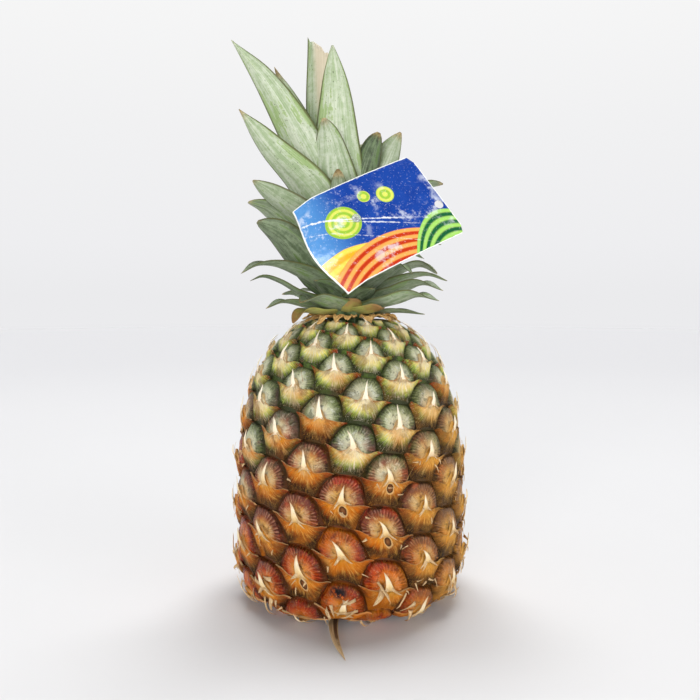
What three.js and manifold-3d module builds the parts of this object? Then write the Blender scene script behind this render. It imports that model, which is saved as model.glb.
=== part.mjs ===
// A ripe pineapple standing on its base: the fruit, its crown of leaves, the cut stalk with one
// dry leaf, and a small card held to the crown by a clear pin. Millimetres, +Z up, front at -Y.
import * as THREE from 'three';
import { mergeVertices } from 'three/addons/utils/BufferGeometryUtils.js';
import Module from 'manifold-3d';

const wasm = await Module();
wasm.setup();

// Body of the fruit.
const BODY_RADIUS = 59.6;
const WIDEST_HEIGHT = 35;
const CLOSING_HEIGHT = 147;
const CLOSING_DEPTH = -1.5;
const FRUIT_TOP = 144;
const BASE_RADIUS = 45;
const BASE_RISE = 0.0015;
const SEAT_RADIUS = 12.4;
const SEAT_FLOOR = 138;
const RECESS_RADIUS = 35;

// Spiral of the eyes: degrees from one eye to the next, and their distance up the skin.
const EYE_TURN = -99.67;
const EYE_PHASE = 1.65;
const SKIN_AT_FIRST = 93.4;
const SKIN_PER_EYE = 1.3228;
const SKIN_BEND = -0.00158;
const LOWEST_EYE = -80;
const HIGHEST_EYE = 62;
const MM_PER_DEGREE = 1.047;
const MM_PER_EYE = 1.31;
const GROOVE = -3.4;
// The spirals turn by this many degrees more towards the base, between two numbers of eyes below
// the first.
const TWIST = 13;
const TWIST_FROM = 14;
const TWIST_TO = 56;

// Points of one eye as [across, along, lift]: round disc above, winged bract below it, and the
// three corners of the spike's root last.
const EYE_POINTS = [
  [12.4, -2.7, -0.9],
  [10.7, 3.4, -1.7],
  [6.6, 9.2, -1.7],
  [0.2, 10.8, -1.6],
  [-6.0, 8.8, -1.7],
  [-10.7, 2.9, -1.7],
  [-12.5, 0.4, -0.9],
  [-8.2, -7.1, -1.3],
  [-0.4, -10.9, -1.7],
  [7.4, -7.4, -1.3],
  [7.6, 0.8, -1.2],
  [3.4, 2.0, -0.9],
  [-3.3, 2.3, -0.9],
  [-7.5, 2.1, -1.2],
  [0.5, 6.4, -0.1],
  [6.8, -1.0, 0.7],
  [-6.8, 0.3, 0.7],
  [-0.1, -6.2, 0.1],
  [-2.1, 0.3, 0.9],
  [2.1, 0.1, 0.9],
  [0, -1.6, 1.8],
];
// The same where eyes are pressed flat, under the base and under the crown.
const FLAT_EYE_POINTS = [
  [9.0, -1.5, -1.4],
  [4.2, 8.0, -1.4],
  [-5.4, 7.2, -1.4],
  [-9.0, 1.5, -1.4],
  [-3.6, -8.0, -1.4],
  [5.6, -6.8, -1.4],
  [0, 0, -0.4],
];
const SPIKE_CORNERS = 3;
const LOWEST_FULL_EYE = -67;
const HIGHEST_FULL_EYE = 57;
const LOWEST_SPIKE = -62;
const HIGHEST_SPIKE = 56;
const STUB = [0, 0.6, 1.5];

// Three low places that the fruit stands on, in degrees round from the front.
const FOOT_TURNS = [75, 195, 315];
const FOOT_REACH = 9;
const FOOT_DROP = 2.6;

const GAP = 0.35;
const WELD = 1e-3;
const CROWN_STEM = [
  [0, 138.4],
  [12, 138.4],
  [12, 145],
  [15.5, 148],
  [15, 156],
  [11.5, 170],
  [8.5, 185],
  [5, 202],
  [2, 214],
  [0, 214],
];
const LEAF_THICKNESS = 0.8;
const LEAF_TROUGH = 0.2;

// Leaves that show from the front. Each runs through its points. "faces" turns its outer side
// from the front, and "blunt" is how much of its width is left at the end.
const FRONT_LEAVES = [
  { through: [[-5, -2, 186], [-15, -6, 213], [-26, -9, 235], [-43, -14, 263], [-58, -18, 281]],
    width: 25, faces: -12 },
  { through: [[-6, 3, 190], [-22, 8, 235], [-33, 12, 261], [-40, 14, 277]], width: 21, faces: -8 },
  { through: [[-3, 6, 190], [-14, 11, 244], [-15, 14, 286.5]], width: 20, faces: -8, blunt: 0.8, slant: 7 },
  { through: [[-1, 0, 185], [-6, -2, 231], [-7, -2, 259], [-9, 0, 284]], width: 28, faces: 5, blunt: 0.16 },
  { through: [[-2, -5, 177], [-7, -9, 215], [-11, -11, 237], [-13, -16, 244]], width: 29, faces: 5,
    blunt: 0.2 },
  { through: [[-1, -8, 172], [-5, -14, 204], [-6, -17, 219]], width: 14, faces: 0, blunt: 0.4 },
  { through: [[-5, -5, 181], [-21, -12, 209], [-39, -18, 228], [-54, -22, 247]], width: 25, faces: -18 },
  { through: [[-5, -7, 175], [-23, -15, 193], [-37, -22, 204], [-47, -27, 212]], width: 23, faces: -18,
    blunt: 0.25 },
  { through: [[-6, -2, 170], [-28, -6, 187], [-42, -11, 199], [-51, -14, 203]], width: 19, faces: -25,
    blunt: 0.5 },
  { through: [[-5, -9, 152], [-20, -18, 169], [-34, -25, 185], [-45, -28, 192]], width: 25, faces: -16,
    blunt: 0.4 },
  { through: [[-7, 6, 158], [-24, 12, 170], [-34, 15, 178], [-37, 15, 181]], width: 16, faces: -70,
    blunt: 0.5 },
  { through: [[-4, -6, 152], [-22, -16, 165], [-37, -23, 171], [-46, -27, 171], [-53, -29, 167]],
    width: 19, faces: -30 },
  { through: [[-6, -1, 150], [-26, -4, 157], [-36, -6, 163], [-45, -7, 166], [-51, -8, 164]],
    width: 13, faces: -75 },
  { through: [[-8, 8, 149], [-24, 14, 154], [-31, 17, 157], [-37, 18, 157]], width: 12, faces: -70,
    blunt: 0.4 },
  { through: [[-6, -6, 148], [-20, -12, 150], [-34, -17, 153], [-42, -19, 150]], width: 15, faces: -40 },
  { through: [[-6, -9, 147], [-16, -18, 147.5], [-24, -23, 148], [-28, -26, 143]], width: 13, faces: -35,
    blunt: 0.3 },
  { through: [[-3, -9, 147], [-12, -20, 151], [-19, -26, 154], [-24, -30, 153]], width: 21, faces: -20,
    blunt: 0.35 },
  { through: [[-1, -9, 146], [-1, -18, 150], [-1, -21, 155]], width: 15, faces: 0, blunt: 0.8 },
  { through: [[4, -9, 147], [10, -19, 148], [16, -24, 150.5]], width: 15, faces: 20, blunt: 0.6 },
  { through: [[8, -4, 147], [25, -9, 148], [38, -12, 147]], width: 11, faces: 60 },
  { through: [[5, -8, 148], [21, -17, 152], [34, -21, 156], [44, -23, 154]], width: 19, faces: 30 },
  { through: [[5, -4, 150], [24, -9, 157], [37, -12, 162], [47, -14, 159]], width: 18, faces: 40 },
  { through: [[6, 1, 152], [24, 2, 162], [40, 3, 167], [51, 3, 164]], width: 16, faces: 60 },
  { through: [[4, 6, 154], [27, 12, 168], [38, 15, 172], [47, 16, 168]], width: 17, faces: 70,
    blunt: 0.5 },
  { through: [[3, -8, 155], [18, -17, 166], [26, -21, 171], [31, -22, 167]], width: 14, faces: 30 },
  { through: [[2, 4, 183], [14, 9, 215], [21, 12, 232], [27, 14, 243]], width: 24, faces: 12, blunt: 0.25 },
  { through: [[1, 1, 186], [8, 3, 219], [12, 4, 234], [15, 4, 241]], width: 17, faces: 8, blunt: 0.5 },
  { through: [[3, 5, 174], [27, 12, 202], [42, 16, 214], [50, 18, 216]], width: 16, faces: 55,
    blunt: 0.5 },
  { through: [[2, 2, 176], [19, 4, 204], [29, 5, 216], [35, 6, 220]], width: 18, faces: 45 },
  { through: [[4, -2, 167], [21, -2, 185], [34, -2, 194], [45, -2, 197]], width: 18, faces: 55 },
  { through: [[4, -5, 160], [22, -9, 176], [35, -11, 183], [46, -12, 182]], width: 17, faces: 45 },
  { through: [[2, -8, 150], [7, -20, 157], [11, -27, 160]], width: 18, faces: 15, blunt: 0.2 },
  { through: [[-4, -8, 151], [-12, -19, 160], [-17, -26, 164]], width: 19, faces: -20, blunt: 0.2 },
  { through: [[1, -8, 160], [2, -17, 178], [3, -22, 194], [3, -23, 207]], width: 16, faces: 0 },
];

// Leaves round the back, in rings: count, first turn, height, reach, rise, droop and width.
const BACK_RINGS = [
  { count: 4, from: 118, to: 242, foot: 148, reach: 42, rise: 12, droop: 9, width: 14 },
  { count: 4, from: 105, to: 255, foot: 154, reach: 45, rise: 26, droop: 10, width: 15 },
  { count: 3, from: 125, to: 235, foot: 163, reach: 42, rise: 44, droop: 7, width: 17 },
  { count: 3, from: 112, to: 232, foot: 172, reach: 34, rise: 60, droop: 4, width: 18 },
  { count: 2, from: 150, to: 215, foot: 182, reach: 22, rise: 58, droop: 1, width: 18 },
];

// Stalk under the fruit, and the dry leaf that runs out from it over the ground.
const STALK_RADIUS = 10;
const STALK_HEIGHT = 12.5;
const DRY_LEAF = {
  through: [
    [-2, -8, 1.6],
    [-6, -25, 1.5],
    [-7.8, -42, 1.1],
    [-7.7, -55, 1.6],
    [-6, -70, 1.5],
    [-2, -86, 0.75],
  ],
  width: 5.6,
  faces: 0,
  blunt: 0.15,
};

// Card: its top left corner, its long and short edges, and its bends.
const CARD_CORNER = new THREE.Vector3(-27, -33, 198.5);
const CARD_LONG = new THREE.Vector3(57, 26, 28.3);
const CARD_SHORT = new THREE.Vector3(27, -16, -39);
const CARD_THICKNESS = 0.7;
const CREASE_AT = 0.15;
const CREASE_BACK = 5;
const CARD_BOW = 1.6;
const CARD_BULGE = 0.06;
const PIN_AT = [0.335, 0.4];
const PUNCH_AT = [0.95, 0.62];
const PUNCH_RADIUS = 2.3;
const PIN_RADIUS = 0.7;
const PIN_HEAD_RADIUS = 2.2;
const PIN_LENGTH = 15;
const CARD_OUT = CARD_SHORT.clone().cross(CARD_LONG).normalize();

function makeRandom(seed) {
  let state = seed;
  return () => {
    state = (state * 1664525 + 1013904223) % 4294967296;
    return state / 4294967296;
  };
}

function solidOf(geometry) {
  const bare = geometry.clone();
  bare.deleteAttribute('normal');
  bare.deleteAttribute('uv');
  const merged = mergeVertices(bare, 1e-5);
  return new wasm.Manifold(new wasm.Mesh({
    numProp: 3,
    vertProperties: new Float32Array(merged.attributes.position.array),
    triVerts: new Uint32Array(merged.index.array),
  }));
}

function geometryOf(solid) {
  const mesh = solid.getMesh();
  const geometry = new THREE.BufferGeometry();
  geometry.setAttribute('position', new THREE.BufferAttribute(new Float32Array(mesh.vertProperties), 3));
  geometry.setIndex(new THREE.BufferAttribute(new Uint32Array(mesh.triVerts), 1));
  return geometry;
}

function geometryFrom(points, triangles) {
  const geometry = new THREE.BufferGeometry();
  geometry.setAttribute('position', new THREE.Float32BufferAttribute(points.flat(), 3));
  geometry.setIndex(triangles.flat());
  return geometry;
}

// Triangles left after points closer than a hair are made one and flat folds are dropped.
function cleanTriangles(geometry) {
  const index = geometry.index.array;
  const kept = new Map();
  for (let i = 0; i < index.length; i += 3) {
    const three = [index[i], index[i + 1], index[i + 2]];
    if (new Set(three).size < 3) continue;
    const key = [...three].sort((a, b) => a - b).join();
    if (kept.has(key)) kept.delete(key);
    else kept.set(key, three);
  }
  return [...kept.values()];
}

// Keeps the largest closed skin of a joined geometry and drops any small one shut inside it.
function largestSkin(joined) {
  const geometry = mergeVertices(joined, WELD);
  const triangles = cleanTriangles(geometry);
  const owner = Array.from({ length: geometry.attributes.position.count }, (_, i) => i);
  const find = (i) => {
    let root = i;
    while (owner[root] !== root) root = owner[root];
    owner[i] = root;
    return root;
  };
  triangles.forEach(([a, b, c]) => {
    owner[find(a)] = find(b);
    owner[find(b)] = find(c);
  });
  const groups = new Map();
  triangles.forEach((three) => {
    const group = find(three[0]);
    if (!groups.has(group)) groups.set(group, []);
    groups.get(group).push(...three);
  });
  const largest = [...groups.values()].sort((a, b) => b.length - a.length)[0];
  const position = geometry.attributes.position;
  const place = new Map();
  const points = [];
  const renumbered = largest.map((i) => {
    if (!place.has(i)) {
      place.set(i, points.push([position.getX(i), position.getY(i), position.getZ(i)]) - 1);
    }
    return place.get(i);
  });
  return geometryFrom(points, renumbered);
}

// Outline of the fruit from the base edge up, as [length along the skin, radius, height].
function makeOutline() {
  const rows = [];
  for (let inward = BASE_RADIUS - 1; inward > 0; inward -= 1) {
    rows.push([-inward, BASE_RADIUS - inward, BASE_RISE * inward * inward]);
  }
  rows.push([0, BASE_RADIUS, 0]);
  const steps = 400;
  for (let i = 1; i <= steps; i += 1) {
    const z = 146.98 * Math.sin((i / steps) * Math.PI / 2);
    const up = Math.max(0, (z - WIDEST_HEIGHT) / (CLOSING_HEIGHT - WIDEST_HEIGHT));
    const down = Math.max(0, (WIDEST_HEIGHT - z) / (WIDEST_HEIGHT - CLOSING_DEPTH));
    const r = z > WIDEST_HEIGHT
      ? BODY_RADIUS * (1 - up ** 3.2) ** (1 / 2.35)
      : BODY_RADIUS * (1 - down ** 4) ** (1 / 6.5);
    const last = rows[rows.length - 1];
    rows.push([last[0] + Math.hypot(r - last[1], z - last[2]), r, z]);
  }
  return rows;
}

const OUTLINE = makeOutline();

// Radius, height and outward direction of the plain body at a length along its skin.
function bodyAt(length) {
  const limited = Math.min(Math.max(length, OUTLINE[0][0]), OUTLINE[OUTLINE.length - 1][0] - 0.01);
  let k = OUTLINE.findIndex((row) => row[0] > limited) - 1;
  k = Math.max(k, 0);
  const [s0, r0, z0] = OUTLINE[k];
  const [s1, r1, z1] = OUTLINE[k + 1];
  const part = (limited - s0) / (s1 - s0);
  const size = Math.hypot(r1 - r0, z1 - z0);
  return {
    r: r0 + (r1 - r0) * part,
    z: z0 + (z1 - z0) * part,
    outR: (z1 - z0) / size,
    outZ: -(r1 - r0) / size,
  };
}

function footDrop(turn, length, radius) {
  let drop = 0;
  for (const foot of FOOT_TURNS) {
    const away = (((turn - foot) % 360) + 540) % 360 - 180;
    const distance = Math.hypot(away * Math.PI / 180 * radius, length + 3);
    drop += FOOT_DROP * Math.max(0, 1 - (distance / FOOT_REACH) ** 2);
  }
  return drop;
}

// Place on the skin, from an eye's number and a point given across, along and out from its middle.
function onSkin(eye, across, along, lift) {
  const step = eye + along / MM_PER_EYE;
  const twist = TWIST * THREE.MathUtils.smoothstep(-step, TWIST_FROM, TWIST_TO);
  const turn = EYE_TURN * eye + EYE_PHASE + across / MM_PER_DEGREE + twist;
  const length = SKIN_AT_FIRST + SKIN_PER_EYE * step + SKIN_BEND * step * step;
  const body = bodyAt(length);
  const low = THREE.MathUtils.smoothstep(length, -2, 14);
  const size = Math.min(1, body.r / 42) * (0.5 + 0.5 * low);
  const out = lift * size - 1.3 * (1 - low) + footDrop(turn, length, body.r);
  const angle = (turn - 90) * Math.PI / 180;
  const r = body.r + body.outR * out;
  return [r * Math.cos(angle), r * Math.sin(angle), body.z + body.outZ * out];
}

// The six corners of an eye's cell and the middles between them, shared with its neighbours.
function cellEdge() {
  const steps = [7, 18, 11, -7, -18, -11].map((number) => {
    const turn = ((EYE_TURN * number) % 360 + 540) % 360 - 180;
    return [turn * MM_PER_DEGREE, number * MM_PER_EYE];
  });
  const edge = [];
  steps.forEach((step, i) => {
    const next = steps[(i + 1) % steps.length];
    edge.push([step[0] / 2, step[1] / 2, GROOVE]);
    edge.push([(step[0] + next[0]) / 3, (step[1] + next[1]) / 3, GROOVE]);
  });
  return edge;
}

function side(a, b, c) {
  return (b[0] - a[0]) * (c[1] - a[1]) - (b[1] - a[1]) * (c[0] - a[0]);
}

function insideCircle(a, b, c, p) {
  const rows = [a, b, c].map((q) => [q[0] - p[0], q[1] - p[1]]);
  const squares = rows.map((q) => q[0] * q[0] + q[1] * q[1]);
  const [m, n, o] = rows;
  return squares[0] * (n[0] * o[1] - n[1] * o[0])
    - squares[1] * (m[0] * o[1] - m[1] * o[0])
    + squares[2] * (m[0] * n[1] - m[1] * n[0]) > 1e-9;
}

// Triangles between points in a plane whose circles hold no other point.
function trianglesOf(points) {
  const triangles = [];
  for (let i = 0; i < points.length; i += 1) {
    for (let j = i + 1; j < points.length; j += 1) {
      for (let k = j + 1; k < points.length; k += 1) {
        const area = side(points[i], points[j], points[k]);
        if (Math.abs(area) < 1e-3) continue;
        const three = area > 0 ? [i, j, k] : [i, k, j];
        const [a, b, c] = three.map((n) => points[n]);
        if (!points.some((p, n) => !three.includes(n) && insideCircle(a, b, c, p))) {
          triangles.push(three);
        }
      }
    }
  }
  return triangles;
}

// Edges used once, as pairs running the way that closes the surface.
function openEdges(triangles) {
  const used = new Set();
  triangles.forEach(([a, b, c]) => [[a, b], [b, c], [c, a]].forEach((e) => used.add(e.join())));
  return [...used].map((e) => e.split(',').map(Number)).filter(([a, b]) => !used.has(`${b},${a}`));
}

// Tip of the thin spike that rises from the middle of an eye and leans up over it.
function spikeTip(eye, random) {
  const lean = (random() - 0.5) * 5;
  const reach = 9.5 + 3 * random();
  const rise = 1.9 + 1.1 * random();
  return eye < LOWEST_SPIKE || eye > HIGHEST_SPIKE ? STUB : [lean, reach, rise];
}

// Triangles of an eye with its spike, whose tip is one point past the last of the others.
function fullEyeTriangles(points) {
  const root = points.map((_, i) => i).slice(-SPIKE_CORNERS);
  const cell = trianglesOf(points);
  const isRoot = (three) => three.every((n) => root.includes(n));
  const [base] = cell.filter(isRoot);
  const spike = base.map((n, i) => [n, base[(i + 1) % SPIKE_CORNERS], points.length]);
  return [...cell.filter((three) => !isRoot(three)), ...spike];
}

function fruitSkin() {
  const edge = cellEdge();
  const full = [...edge, ...EYE_POINTS];
  const flat = [...edge, ...FLAT_EYE_POINTS];
  const fullCell = fullEyeTriangles(full);
  const flatCell = trianglesOf(flat);
  const random = makeRandom(41);
  const points = [];
  const triangles = [];
  for (let eye = LOWEST_EYE; eye <= HIGHEST_EYE; eye += 1) {
    const start = points.length;
    const depth = 0.8 + 0.4 * random();
    const tip = spikeTip(eye, random);
    const isFull = eye >= LOWEST_FULL_EYE && eye <= HIGHEST_FULL_EYE;
    (isFull ? full : flat).forEach(([across, along, lift]) => {
      const level = lift === GROOVE ? lift : lift * depth;
      points.push(onSkin(eye, across, along, level));
    });
    if (isFull) points.push(onSkin(eye, ...tip));
    (isFull ? fullCell : flatCell).forEach((three) => triangles.push(three.map((n) => n + start)));
  }
  return closeEnds(mergeVertices(geometryFrom(points, triangles), 1e-4));
}

// Closes the open rims at the base and the top with fans to points on the axis.
function closeEnds(skin) {
  const index = skin.index.array;
  const position = skin.attributes.position;
  const triangles = [];
  for (let i = 0; i < index.length; i += 3) triangles.push([index[i], index[i + 1], index[i + 2]]);
  const points = [];
  for (let i = 0; i < position.count; i += 1) {
    points.push([position.getX(i), position.getY(i), position.getZ(i)]);
  }
  const below = points.push([0, 0, -8]) - 1;
  const above = points.push([0, 0, 151]) - 1;
  openEdges(triangles).forEach(([a, b]) => {
    triangles.push([b, a, points[a][2] < WIDEST_HEIGHT ? below : above]);
  });
  return geometryFrom(points, triangles);
}

function turned(profile, sides) {
  return new THREE.LatheGeometry(profile.map(([r, z]) => new THREE.Vector2(r, z)), sides)
    .rotateX(Math.PI / 2);
}

function slab(lowest, highest) {
  return new THREE.BoxGeometry(300, 300, highest - lowest).translate(0, 0, (lowest + highest) / 2);
}

function buildFruit() {
  const recess = turned([[0, -9], [RECESS_RADIUS, -9], [RECESS_RADIUS - 1, 1.4], [13, 3.4], [0, 3.4]], 24);
  const stalkHole = turned([
    [0, -9],
    [STALK_RADIUS + GAP, -9],
    [STALK_RADIUS + GAP, STALK_HEIGHT + GAP],
    [0, STALK_HEIGHT + GAP],
  ], 24);
  const seat = turned([[0, SEAT_FLOOR], [SEAT_RADIUS, SEAT_FLOOR], [SEAT_RADIUS, 160], [0, 160]], 24);
  const top = slab(FRUIT_TOP, 170);
  return solidOf(fruitSkin())
    .subtract(solidOf(top))
    .subtract(solidOf(slab(-20, 0)))
    .subtract(solidOf(recess))
    .subtract(solidOf(stalkHole))
    .subtract(solidOf(seat))
    .subtract(solidOf(leafGeometry(DRY_LEAF, GAP)));
}

function leafWidth(leaf, t) {
  const blunt = leaf.blunt ?? 0.06;
  const opening = Math.min(1, 0.5 + 1.8 * t);
  return leaf.width * opening * (1 - (1 - blunt) * t ** 2.4);
}

// Cross directions of a leaf where it runs along a given direction.
function leafFrame(faces, along) {
  const angle = faces * Math.PI / 180;
  const across = new THREE.Vector3(Math.cos(angle), Math.sin(angle), 0);
  const outer = across.clone().cross(along).normalize();
  return { across: along.clone().cross(outer).normalize(), outer };
}

// A channelled blade that runs through its points, with a flat edge all round.
function leafGeometry(leaf, extra = 0) {
  const through = leaf.through.map((p) => new THREE.Vector3(...p));
  const curve = new THREE.CatmullRomCurve3(through, false, 'centripetal');
  const stations = leaf.through.length + 1;
  const points = [];
  const triangles = [];
  for (let i = 0; i <= stations; i += 1) {
    const t = i / stations;
    const along = curve.getTangentAt(t).normalize();
    const { across, outer } = leafFrame(leaf.faces, along);
    const half = leafWidth(leaf, t) / 2 + extra;
    const thick = LEAF_THICKNESS * (1 - 0.2 * t) / 2 + extra;
    const trough = leaf === DRY_LEAF ? 0 : half * 2 * LEAF_TROUGH;
    const middle = curve.getPointAt(t);
    for (const face of [1, -1]) {
      for (const edge of [-1, 0, 1]) {
        const slanted = (leaf.slant ?? 0) * t ** 6 * -edge;
        points.push(middle.clone()
          .addScaledVector(across, half * edge)
          .addScaledVector(outer, thick * face - trough * Math.abs(edge))
          .addScaledVector(along, slanted + extra * (i === 0 ? -1 : 1) * (i % stations === 0 ? 1 : 0))
          .toArray());
      }
    }
  }
  const ring = [0, 1, 2, 5, 4, 3];
  for (let i = 0; i < stations; i += 1) {
    ring.forEach((from, k) => {
      const to = ring[(k + 1) % ring.length];
      const a = i * 6 + from;
      const b = i * 6 + to;
      triangles.push([a, b, b + 6], [a, b + 6, a + 6]);
    });
  }
  const end = stations * 6;
  [[0, 3, 4], [0, 4, 1], [1, 4, 5], [1, 5, 2]].forEach(([a, b, c]) => {
    triangles.push([a, b, c], [end + a, end + c, end + b]);
  });
  return geometryFrom(points, triangles);
}

// Leaves of one ring, spread evenly with a little scatter.
function ringLeaves(ring, random) {
  const leaves = [];
  for (let i = 0; i < ring.count; i += 1) {
    const spread = ring.from + (ring.to - ring.from) * (i + 0.5) / ring.count;
    const turn = spread + (random() - 0.5) * 8;
    const size = 0.92 + 0.16 * random();
    const angle = (turn - 90) * Math.PI / 180;
    const at = (reach, height) => [reach * Math.cos(angle), reach * Math.sin(angle), ring.foot + height];
    leaves.push({
      through: [
        at(4, 0),
        at(ring.reach * 0.4 * size, ring.rise * 0.5 * size),
        at(ring.reach * 0.75 * size, ring.rise * 0.9 * size),
        at(ring.reach * size, ring.rise * size - ring.droop * 0.5),
      ],
      width: ring.width,
      faces: turn,
    });
  }
  return leaves;
}

// Point of the bent card, from parts of its long and short edges and a height off its middle.
function onCard(u, v, height) {
  const back = Math.max(0, CREASE_AT - u) / CREASE_AT;
  const bow = CARD_BOW * (1 - (2 * u - 1) ** 2) + 0.8 * Math.sin(v * 5 + 1.2) * (1 - u);
  const bulge = CARD_BULGE * Math.max(0, Math.sin(Math.PI * v)) ** 1.5 * (1 - u) ** 6;
  return CARD_CORNER.clone()
    .addScaledVector(CARD_LONG, u - bulge)
    .addScaledVector(CARD_SHORT, v)
    .addScaledVector(CARD_OUT, height + bow - CREASE_BACK * back ** 1.3);
}

function cardGeometry() {
  const columns = [0, 0.08, CREASE_AT, 0.28, 0.42, 0.56, 0.7, 0.84, 0.96, 1];
  const rows = 5;
  const points = [];
  const triangles = [];
  const at = (i, j, top) => (i * (rows + 1) + j) * 2 + (top ? 0 : 1);
  columns.forEach((u) => {
    for (let j = 0; j <= rows; j += 1) {
      const rounded = u === 1 ? 0.09 : 0;
      const v = rounded + (j / rows) * (1 - 2 * rounded);
      points.push(onCard(u, v, CARD_THICKNESS / 2).toArray());
      points.push(onCard(u, v, -CARD_THICKNESS / 2).toArray());
    }
  });
  const quad = (a, b, c, d) => triangles.push([a, b, c], [a, c, d]);
  const last = columns.length - 1;
  for (let i = 0; i < last; i += 1) {
    for (let j = 0; j < rows; j += 1) {
      quad(at(i, j, true), at(i, j + 1, true), at(i + 1, j + 1, true), at(i + 1, j, true));
      triangles.push([at(i, j, false), at(i + 1, j + 1, false), at(i, j + 1, false)]);
      triangles.push([at(i, j, false), at(i + 1, j, false), at(i + 1, j + 1, false)]);
    }
    quad(at(i, 0, true), at(i + 1, 0, true), at(i + 1, 0, false), at(i, 0, false));
    quad(at(i, rows, true), at(i, rows, false), at(i + 1, rows, false), at(i + 1, rows, true));
  }
  for (let j = 0; j < rows; j += 1) {
    quad(at(0, j, true), at(0, j, false), at(0, j + 1, false), at(0, j + 1, true));
    quad(at(last, j, true), at(last, j + 1, true), at(last, j + 1, false), at(last, j, false));
  }
  return geometryFrom(points, triangles);
}

// A round rod square to the card at one of its points, between two heights off the card.
function rodThroughCard([u, v], radius, low, high, sides) {
  const rod = new THREE.CylinderGeometry(radius, radius, high - low, sides);
  rod.applyQuaternion(new THREE.Quaternion().setFromUnitVectors(new THREE.Vector3(0, 1, 0), CARD_OUT));
  const middle = onCard(u, v, 0).addScaledVector(CARD_OUT, (low + high) / 2);
  return rod.translate(middle.x, middle.y, middle.z);
}

function buildCrown() {
  const random = makeRandom(23);
  const leaves = [...FRONT_LEAVES];
  BACK_RINGS.forEach((ring) => leaves.push(...ringLeaves(ring, random)));
  let crown = solidOf(turned(CROWN_STEM, 18));
  leaves.forEach((leaf) => {
    crown = crown.add(solidOf(leafGeometry(leaf)));
  });
  return crown.subtract(solidOf(rodThroughCard(PIN_AT, PIN_RADIUS + GAP, -PIN_LENGTH - 2, 0, 12)));
}

function buildCard() {
  return solidOf(cardGeometry())
    .subtract(solidOf(rodThroughCard(PIN_AT, PIN_RADIUS + GAP, -3, 3, 12)))
    .subtract(solidOf(rodThroughCard(PUNCH_AT, PUNCH_RADIUS, -4, 4, 20)));
}

function buildPin() {
  const face = CARD_THICKNESS / 2 + GAP;
  return solidOf(rodThroughCard(PIN_AT, PIN_RADIUS, -PIN_LENGTH, face + 0.5, 12))
    .add(solidOf(rodThroughCard(PIN_AT, PIN_HEAD_RADIUS, face, face + 1, 16)));
}

function buildStalk() {
  const stalk = turned([
    [0, 0],
    [STALK_RADIUS, 0],
    [STALK_RADIUS, STALK_HEIGHT - 1],
    [STALK_RADIUS - 1, STALK_HEIGHT],
    [0, STALK_HEIGHT],
  ], 24);
  return solidOf(stalk).add(solidOf(leafGeometry(DRY_LEAF)));
}

function makeMesh(name, geometry, color, roughness) {
  const material = new THREE.MeshStandardMaterial({ color, roughness, metalness: 0 });
  const mesh = new THREE.Mesh(geometry, material);
  geometry.computeVertexNormals();
  mesh.name = name;
  return mesh;
}

const pineapple = new THREE.Group();
pineapple.name = 'pineapple';
pineapple.add(
  makeMesh('fruit', largestSkin(geometryOf(buildFruit())), 0x8a6a34, 0.55),
  makeMesh('crown', largestSkin(geometryOf(buildCrown())), 0x7f9a72, 0.6),
  makeMesh('stalk', largestSkin(geometryOf(buildStalk())), 0xb08d5e, 0.8),
  makeMesh('card', largestSkin(geometryOf(buildCard())), 0x2a5bb0, 0.2),
  makeMesh('card_pin', largestSkin(geometryOf(buildPin())), 0xe8ecec, 0.15),
);

export default pineapple;
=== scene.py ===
import math
import bpy
import numpy as np
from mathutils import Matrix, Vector


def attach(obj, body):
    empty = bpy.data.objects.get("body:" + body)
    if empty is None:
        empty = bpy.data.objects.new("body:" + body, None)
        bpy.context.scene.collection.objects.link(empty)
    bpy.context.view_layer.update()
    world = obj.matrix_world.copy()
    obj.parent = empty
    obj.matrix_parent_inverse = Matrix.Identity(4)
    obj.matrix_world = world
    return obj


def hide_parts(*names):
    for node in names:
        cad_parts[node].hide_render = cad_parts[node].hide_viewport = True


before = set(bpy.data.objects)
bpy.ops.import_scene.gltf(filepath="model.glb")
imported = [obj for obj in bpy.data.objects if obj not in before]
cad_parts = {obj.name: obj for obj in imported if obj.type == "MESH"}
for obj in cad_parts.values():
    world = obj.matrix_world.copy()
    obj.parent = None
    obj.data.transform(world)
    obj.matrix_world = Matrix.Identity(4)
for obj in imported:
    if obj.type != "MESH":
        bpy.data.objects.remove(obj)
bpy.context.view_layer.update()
MM = 0.001

# Values shared with the solids
BODY_RADIUS, WIDEST_HEIGHT, CLOSING_HEIGHT, CLOSING_DEPTH = 59.6, 35.0, 147.0, -1.5
FRUIT_TOP, BASE_RADIUS, BASE_RISE = 144.0, 45.0, 0.0015
EYE_TURN, EYE_PHASE = -99.67, 1.65
SKIN_AT_FIRST, SKIN_PER_EYE, SKIN_BEND = 93.4, 1.3228, -0.00158
LOWEST_EYE, HIGHEST_EYE = -80, 62
MM_PER_DEGREE, MM_PER_EYE = 1.047, 1.31
GROOVE = -3.4
TWIST, TWIST_FROM, TWIST_TO = 13.0, 14, 56
FOOT_TURNS, FOOT_REACH, FOOT_DROP = (75, 195, 315), 9, 2.6


def smooth(x, low, high):
    t = np.clip((np.asarray(x, float) - low) / (high - low), 0, 1)
    return t * t * (3 - 2 * t)


class Draw:
    """The same plain random row of numbers as in the solids."""

    def __init__(self, seed):
        self.state = seed

    def __call__(self):
        self.state = (self.state * 1664525 + 1013904223) % 4294967296
        return self.state / 4294967296


# Skin of the fruit
OUTLINE_STEPS, OUTLINE_TOP = 400, 146.98


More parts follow.
